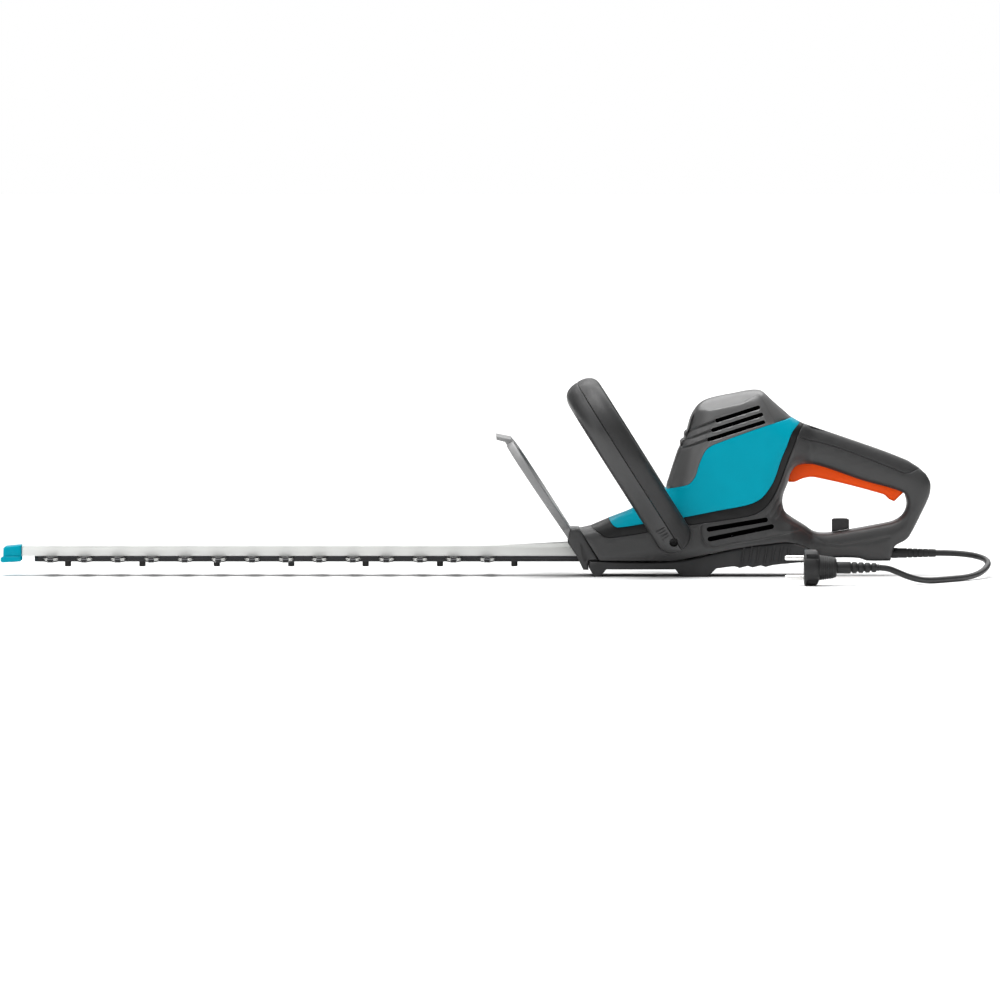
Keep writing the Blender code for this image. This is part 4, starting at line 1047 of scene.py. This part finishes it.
def noise_at(tree, scale, detail, stretch):
    """Noise in object space, stretched along each axis."""
    place = tree.nodes.new("ShaderNodeTexCoord")
    mapping = put(tree.nodes.new("ShaderNodeMapping"), {"Scale": stretch})
    texture = put(tree.nodes.new("ShaderNodeTexNoise"), {"Scale": scale, "Detail": detail})
    tree.links.new(place.outputs["Object"], mapping.inputs["Vector"])
    tree.links.new(mapping.outputs["Vector"], texture.inputs["Vector"])
    return texture.outputs["Fac"]


def ranged(tree, value, low, high):
    """The value, from its usual 0.3 to 0.7, mapped to a range."""
    made = put(tree.nodes.new("ShaderNodeMapRange"),
               {"From Min": 0.3, "From Max": 0.7, "To Min": low, "To Max": high})
    tree.links.new(value, made.inputs["Value"])
    return made.outputs["Result"]


def tinted(tree, value, dark, light):
    made = tree.nodes.new("ShaderNodeMix")
    made.data_type = "RGBA"
    put(made, {"A": (*dark, 1), "B": (*light, 1)})
    tree.links.new(ranged(tree, value, 0, 1), made.inputs["Factor"])
    return made.outputs["Result"]


def surface(name, dark, light, rough, grain, grain_size, metallic=0.0, stretch=(1, 1, 1), shine=0.5):
    """A finish with mottled colour, uneven roughness and fine grain."""
    made = bpy.data.materials.new(name)
    made.use_nodes = True
    tree = made.node_tree
    shader = put(tree.nodes["Principled BSDF"], {"Metallic": metallic, "Specular IOR Level": shine})
    tree.links.new(tinted(tree, noise_at(tree, 35, 4, stretch), dark, light), shader.inputs["Base Color"])
    tree.links.new(ranged(tree, noise_at(tree, 90, 3, stretch), *rough), shader.inputs["Roughness"])
    bump = put(tree.nodes.new("ShaderNodeBump"), {"Strength": grain, "Distance": GRAIN_DEPTH})
    tree.links.new(noise_at(tree, grain_size, 2, stretch), bump.inputs["Height"])
    tree.links.new(bump.outputs["Normal"], shader.inputs["Normal"])
    return made


def shades(colour, spread):
    """A darker and a lighter version of a colour."""
    return tuple(c * (1 - spread) for c in colour), tuple(min(1.0, c * (1 + spread)) for c in colour)


# base colour, its spread, low and high roughness, grain and its scale, metallic, shine
FINISHES = {
    "grey_plastic": ((0.027, 0.027, 0.0275), 0.06, (0.38, 0.46), 0.25, 1600, 0.0, 0.6),
    "hood_grey": ((0.070, 0.070, 0.070), 0.06, (0.32, 0.40), 0.2, 1600, 0.0, 0.9),
    "turquoise_plastic": ((0.0, 0.33, 0.445), 0.03, (0.30, 0.38), 0.08, 900, 0.0, 0.06),
    # band_black is black plastic, darkened well past the other black plastics as painted shade of the band's
    # recess
    "band_black": ((0.004, 0.004, 0.0043), 0.06, (0.4, 0.5), 0.2, 1500, 0.0, 0.3),
    "tray_black": ((0.027, 0.027, 0.028), 0.08, (0.45, 0.55), 0.25, 1400, 0.0, 0.4),
    "soft_grip": ((0.014, 0.014, 0.0145), 0.08, (0.50, 0.60), 0.5, 1100, 0.0, 0.6),
    "guard_grey": ((0.24, 0.24, 0.242), 0.05, (0.36, 0.46), 0.2, 1500, 0.0, 0.5),
    # bail_front's base colour is a little lighter than bail_rear's: painted highlight on the handle's front
    # half
    "bail_front": ((0.013, 0.013, 0.0135), 0.06, (0.36, 0.44), 0.3, 1400, 0.0, 0.8),
    "bail_rear": ((0.011, 0.011, 0.0115), 0.08, (0.45, 0.55), 0.4, 1300, 0.0, 0.6),
    "orange_plastic": ((0.82, 0.074, 0.002), 0.03, (0.3, 0.38), 0.08, 900, 0.0, 0.15),
    "rail_aluminium": ((0.86, 0.87, 0.845), 0.02, (0.34, 0.44), 0.12, 700, 0.25, 0.5),
    "blade_steel": ((0.05, 0.05, 0.052), 0.1, (0.35, 0.45), 0.15, 900, 1.0, 0.5),
    "blade_ground": ((0.9, 0.9, 0.88), 0.05, (0.22, 0.32), 0.15, 900, 1.0, 0.5),
    "bolt_steel": ((0.04, 0.04, 0.04), 0.1, (0.35, 0.45), 0.1, 900, 1.0, 0.5),
    "gear_steel": ((0.35, 0.35, 0.36), 0.06, (0.3, 0.4), 0.15, 900, 1.0, 0.5),
    "laminations": ((0.12, 0.12, 0.125), 0.1, (0.45, 0.55), 0.3, 900, 1.0, 0.5),
    "copper": ((0.7, 0.35, 0.2), 0.05, (0.3, 0.4), 0.15, 900, 1.0, 0.5),
    "carbon": ((0.02, 0.02, 0.02), 0.1, (0.6, 0.7), 0.2, 900, 0.0, 0.5),
    "cord_rubber": ((0.012, 0.012, 0.0125), 0.08, (0.42, 0.52), 0.2, 1300, 0.0, 0.4),
    "pin_metal": ((0.9, 0.89, 0.87), 0.03, (0.18, 0.26), 0.05, 900, 1.0, 0.5),
    "slot_shadow": ((0.0015, 0.0015, 0.0015), 0.1, (0.8, 0.9), 0.05, 900, 0.0, 0.05),
}


def make_finishes():
    made = {}
    for name, (colour, spread, rough, grain, size, metallic, shine) in FINISHES.items():
        stretch = (0.05, 1, 1) if name == "rail_aluminium" else (1, 1, 1)
        dark, light = shades(colour, spread)
        made[name] = surface(name, dark, light, rough, grain, size, metallic, stretch, shine)
    return made


# ---- stage


# metres, watts and degrees, and the lens in millimetres
FLOOR_HALF = 40.0
WORLD_LIGHT = 0.22
SKY_LIGHT = 1.35
KEY_LIGHT = 1.8
RIM_LIGHT = 1.6
FILL_POWER = 6
CAMERA_DISTANCE = 12.0
CAMERA_LENS = 432.0
CAMERA_ELEVATION = 2.0
CAMERA_TARGET = (0.0343, 0.0, 0.0753)


def floor():
    """A wide flat floor."""
    corners = [(-1, -1), (1, -1), (1, 1), (-1, 1)]
    mesh = bpy.data.meshes.new("floor")
    mesh.from_pydata([(FLOOR_HALF * x, FLOOR_HALF * y, 0) for x, y in corners], [], [(0, 1, 2, 3)])
    mesh.materials.append(surface("floor", (0.93, 0.93, 0.93), (0.95, 0.95, 0.95), (0.8, 0.9), 0.0, 60))
    added("floor", mesh)


def softbox(name, place, target, size, power):
    light = bpy.data.lights.new(name, "AREA")
    light.shape = "RECTANGLE"
    light.size, light.size_y = size
    light.energy = power
    obj = added(name, light)
    obj.location = place
    aim = Vector(target) - Vector(place)
    obj.rotation_euler = aim.to_track_quat("-Z", "Y").to_euler()


def overhead_sun(name, energy, spread, tilt):
    """A distant light above, as wide as its spread, and turned about X and Y by its tilt."""
    light = bpy.data.lights.new(name, "SUN")
    light.energy = energy
    light.angle = math.radians(spread)
    obj = added(name, light)
    obj.rotation_euler = (math.radians(tilt[0]), math.radians(tilt[1]), 0)


def studio():
    """A white room that lights softly from all sides, with a wide sky, a key, a rim and a weak fill light."""
    world = bpy.data.worlds.new("studio")
    bpy.context.scene.world = world
    world.use_nodes = True
    tree = world.node_tree
    background = put(tree.nodes["Background"], {"Color": (1, 1, 1, 1)})
    seen = tree.nodes.new("ShaderNodeLightPath")
    strength = put(tree.nodes.new("ShaderNodeMapRange"), {"To Min": WORLD_LIGHT, "To Max": 1.0})
    tree.links.new(seen.outputs["Is Camera Ray"], strength.inputs["Value"])
    tree.links.new(strength.outputs["Result"], background.inputs["Strength"])
    overhead_sun("sky", SKY_LIGHT, 110, (14, -8))
    overhead_sun("key", KEY_LIGHT, 34, (6, -12))
    overhead_sun("rim", RIM_LIGHT, 60, (-42, 6))
    softbox("fill", (-2.2, -2.6, 0.9), (0.0, 0, 0.05), (1.6, 1.6), FILL_POWER)


def camera():
    """A long lens level with the tool's side, a little above it."""
    data = bpy.data.cameras.new("camera")
    data.sensor_width = 36
    data.lens = CAMERA_LENS
    data.clip_end = 100
    obj = added("camera", data)
    target = Vector(CAMERA_TARGET)
    rise = math.radians(CAMERA_ELEVATION)
    obj.location = target + CAMERA_DISTANCE * Vector((0, -math.cos(rise), math.sin(rise)))
    obj.rotation_euler = (target - obj.location).to_track_quat("-Z", "Y").to_euler()
    bpy.context.scene.camera = obj


# ---- the whole scene


def main():
    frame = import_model()
    finishes = make_finishes()
    slots = {part["node"]: part["material_slot"] for part in frame["record"]["subparts"]}
    body_of = {n: body for body, nodes in frame["record"]["behaviour"]["bodies"].items() for n in nodes}
    for name, obj in frame["nodes"].items():
        obj.data.materials.clear()
        obj.data.materials.append(finishes[slots[name]])

    def place(piece):
        """Gives a visual piece the finish and body of the node that it's named after and replaces."""
        node_name = piece.name.removeprefix("visual_")
        if not piece.data.materials:
            piece.data.materials.append(finishes[slots[node_name]])
        if node_name.startswith(("chassis", "hood")):
            piece.data.materials.append(finishes["slot_shadow"])
        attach(piece, body_of[node_name])
        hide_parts(node_name)

    camera()
    cord_piece, cord_length = cord()
    place(cord_piece)
    place(plug_body())
    place(plug_relief())
    place(strain_relief())
    place(plug_pin("visual_plug_pin_upper", 1))
    place(plug_pin("visual_plug_pin_lower", -1))
    [c * MM for c in CORD_ROUTE[0]]

    for label, side in (("left", -1), ("right", 1)):
        for kind, build in (("chassis", chassis), ("hood", hood), ("cover", cover), ("band", band),
                            ("grip_pad", grip_pad), ("front_handle_screw", bail_screw),
                            ("guard_screw", guard_screw)):
            place(build(f"visual_{kind}_{label}", side))
    place(undertray())
    place(cord_hook())
    place(trigger())
    hand_guard = guard()
    place(hand_guard)
    hand_guard.data.materials.append(finishes["grey_plastic"])
    place(bail_half("visual_front_handle_front", -1))
    place(bail_half("visual_front_handle_rear", 1))
    place(switch_bar())
    for name, z_low, travel, edge_up in (("lower_blade", LOWER_BLADE_Z, -STROKE, True),
                                         ("upper_blade", UPPER_BLADE_Z, STROKE, False)):
        piece = blade(name, z_low, travel, edge_up)
        piece.data.materials.append(finishes["blade_steel"])
        piece.data.materials.append(finishes["blade_ground"])
        place(piece)
    place(rail())
    place(tip_protector())
    for bolt in range(BOLT_COUNT):
        place(blade_bolt(f"visual_blade_bolt_{bolt + 1}", BOLT_FIRST_X + bolt * BOLT_PITCH))

    floor()
    studio()
    bpy.context.scene.view_settings.view_transform = "Standard"


main()
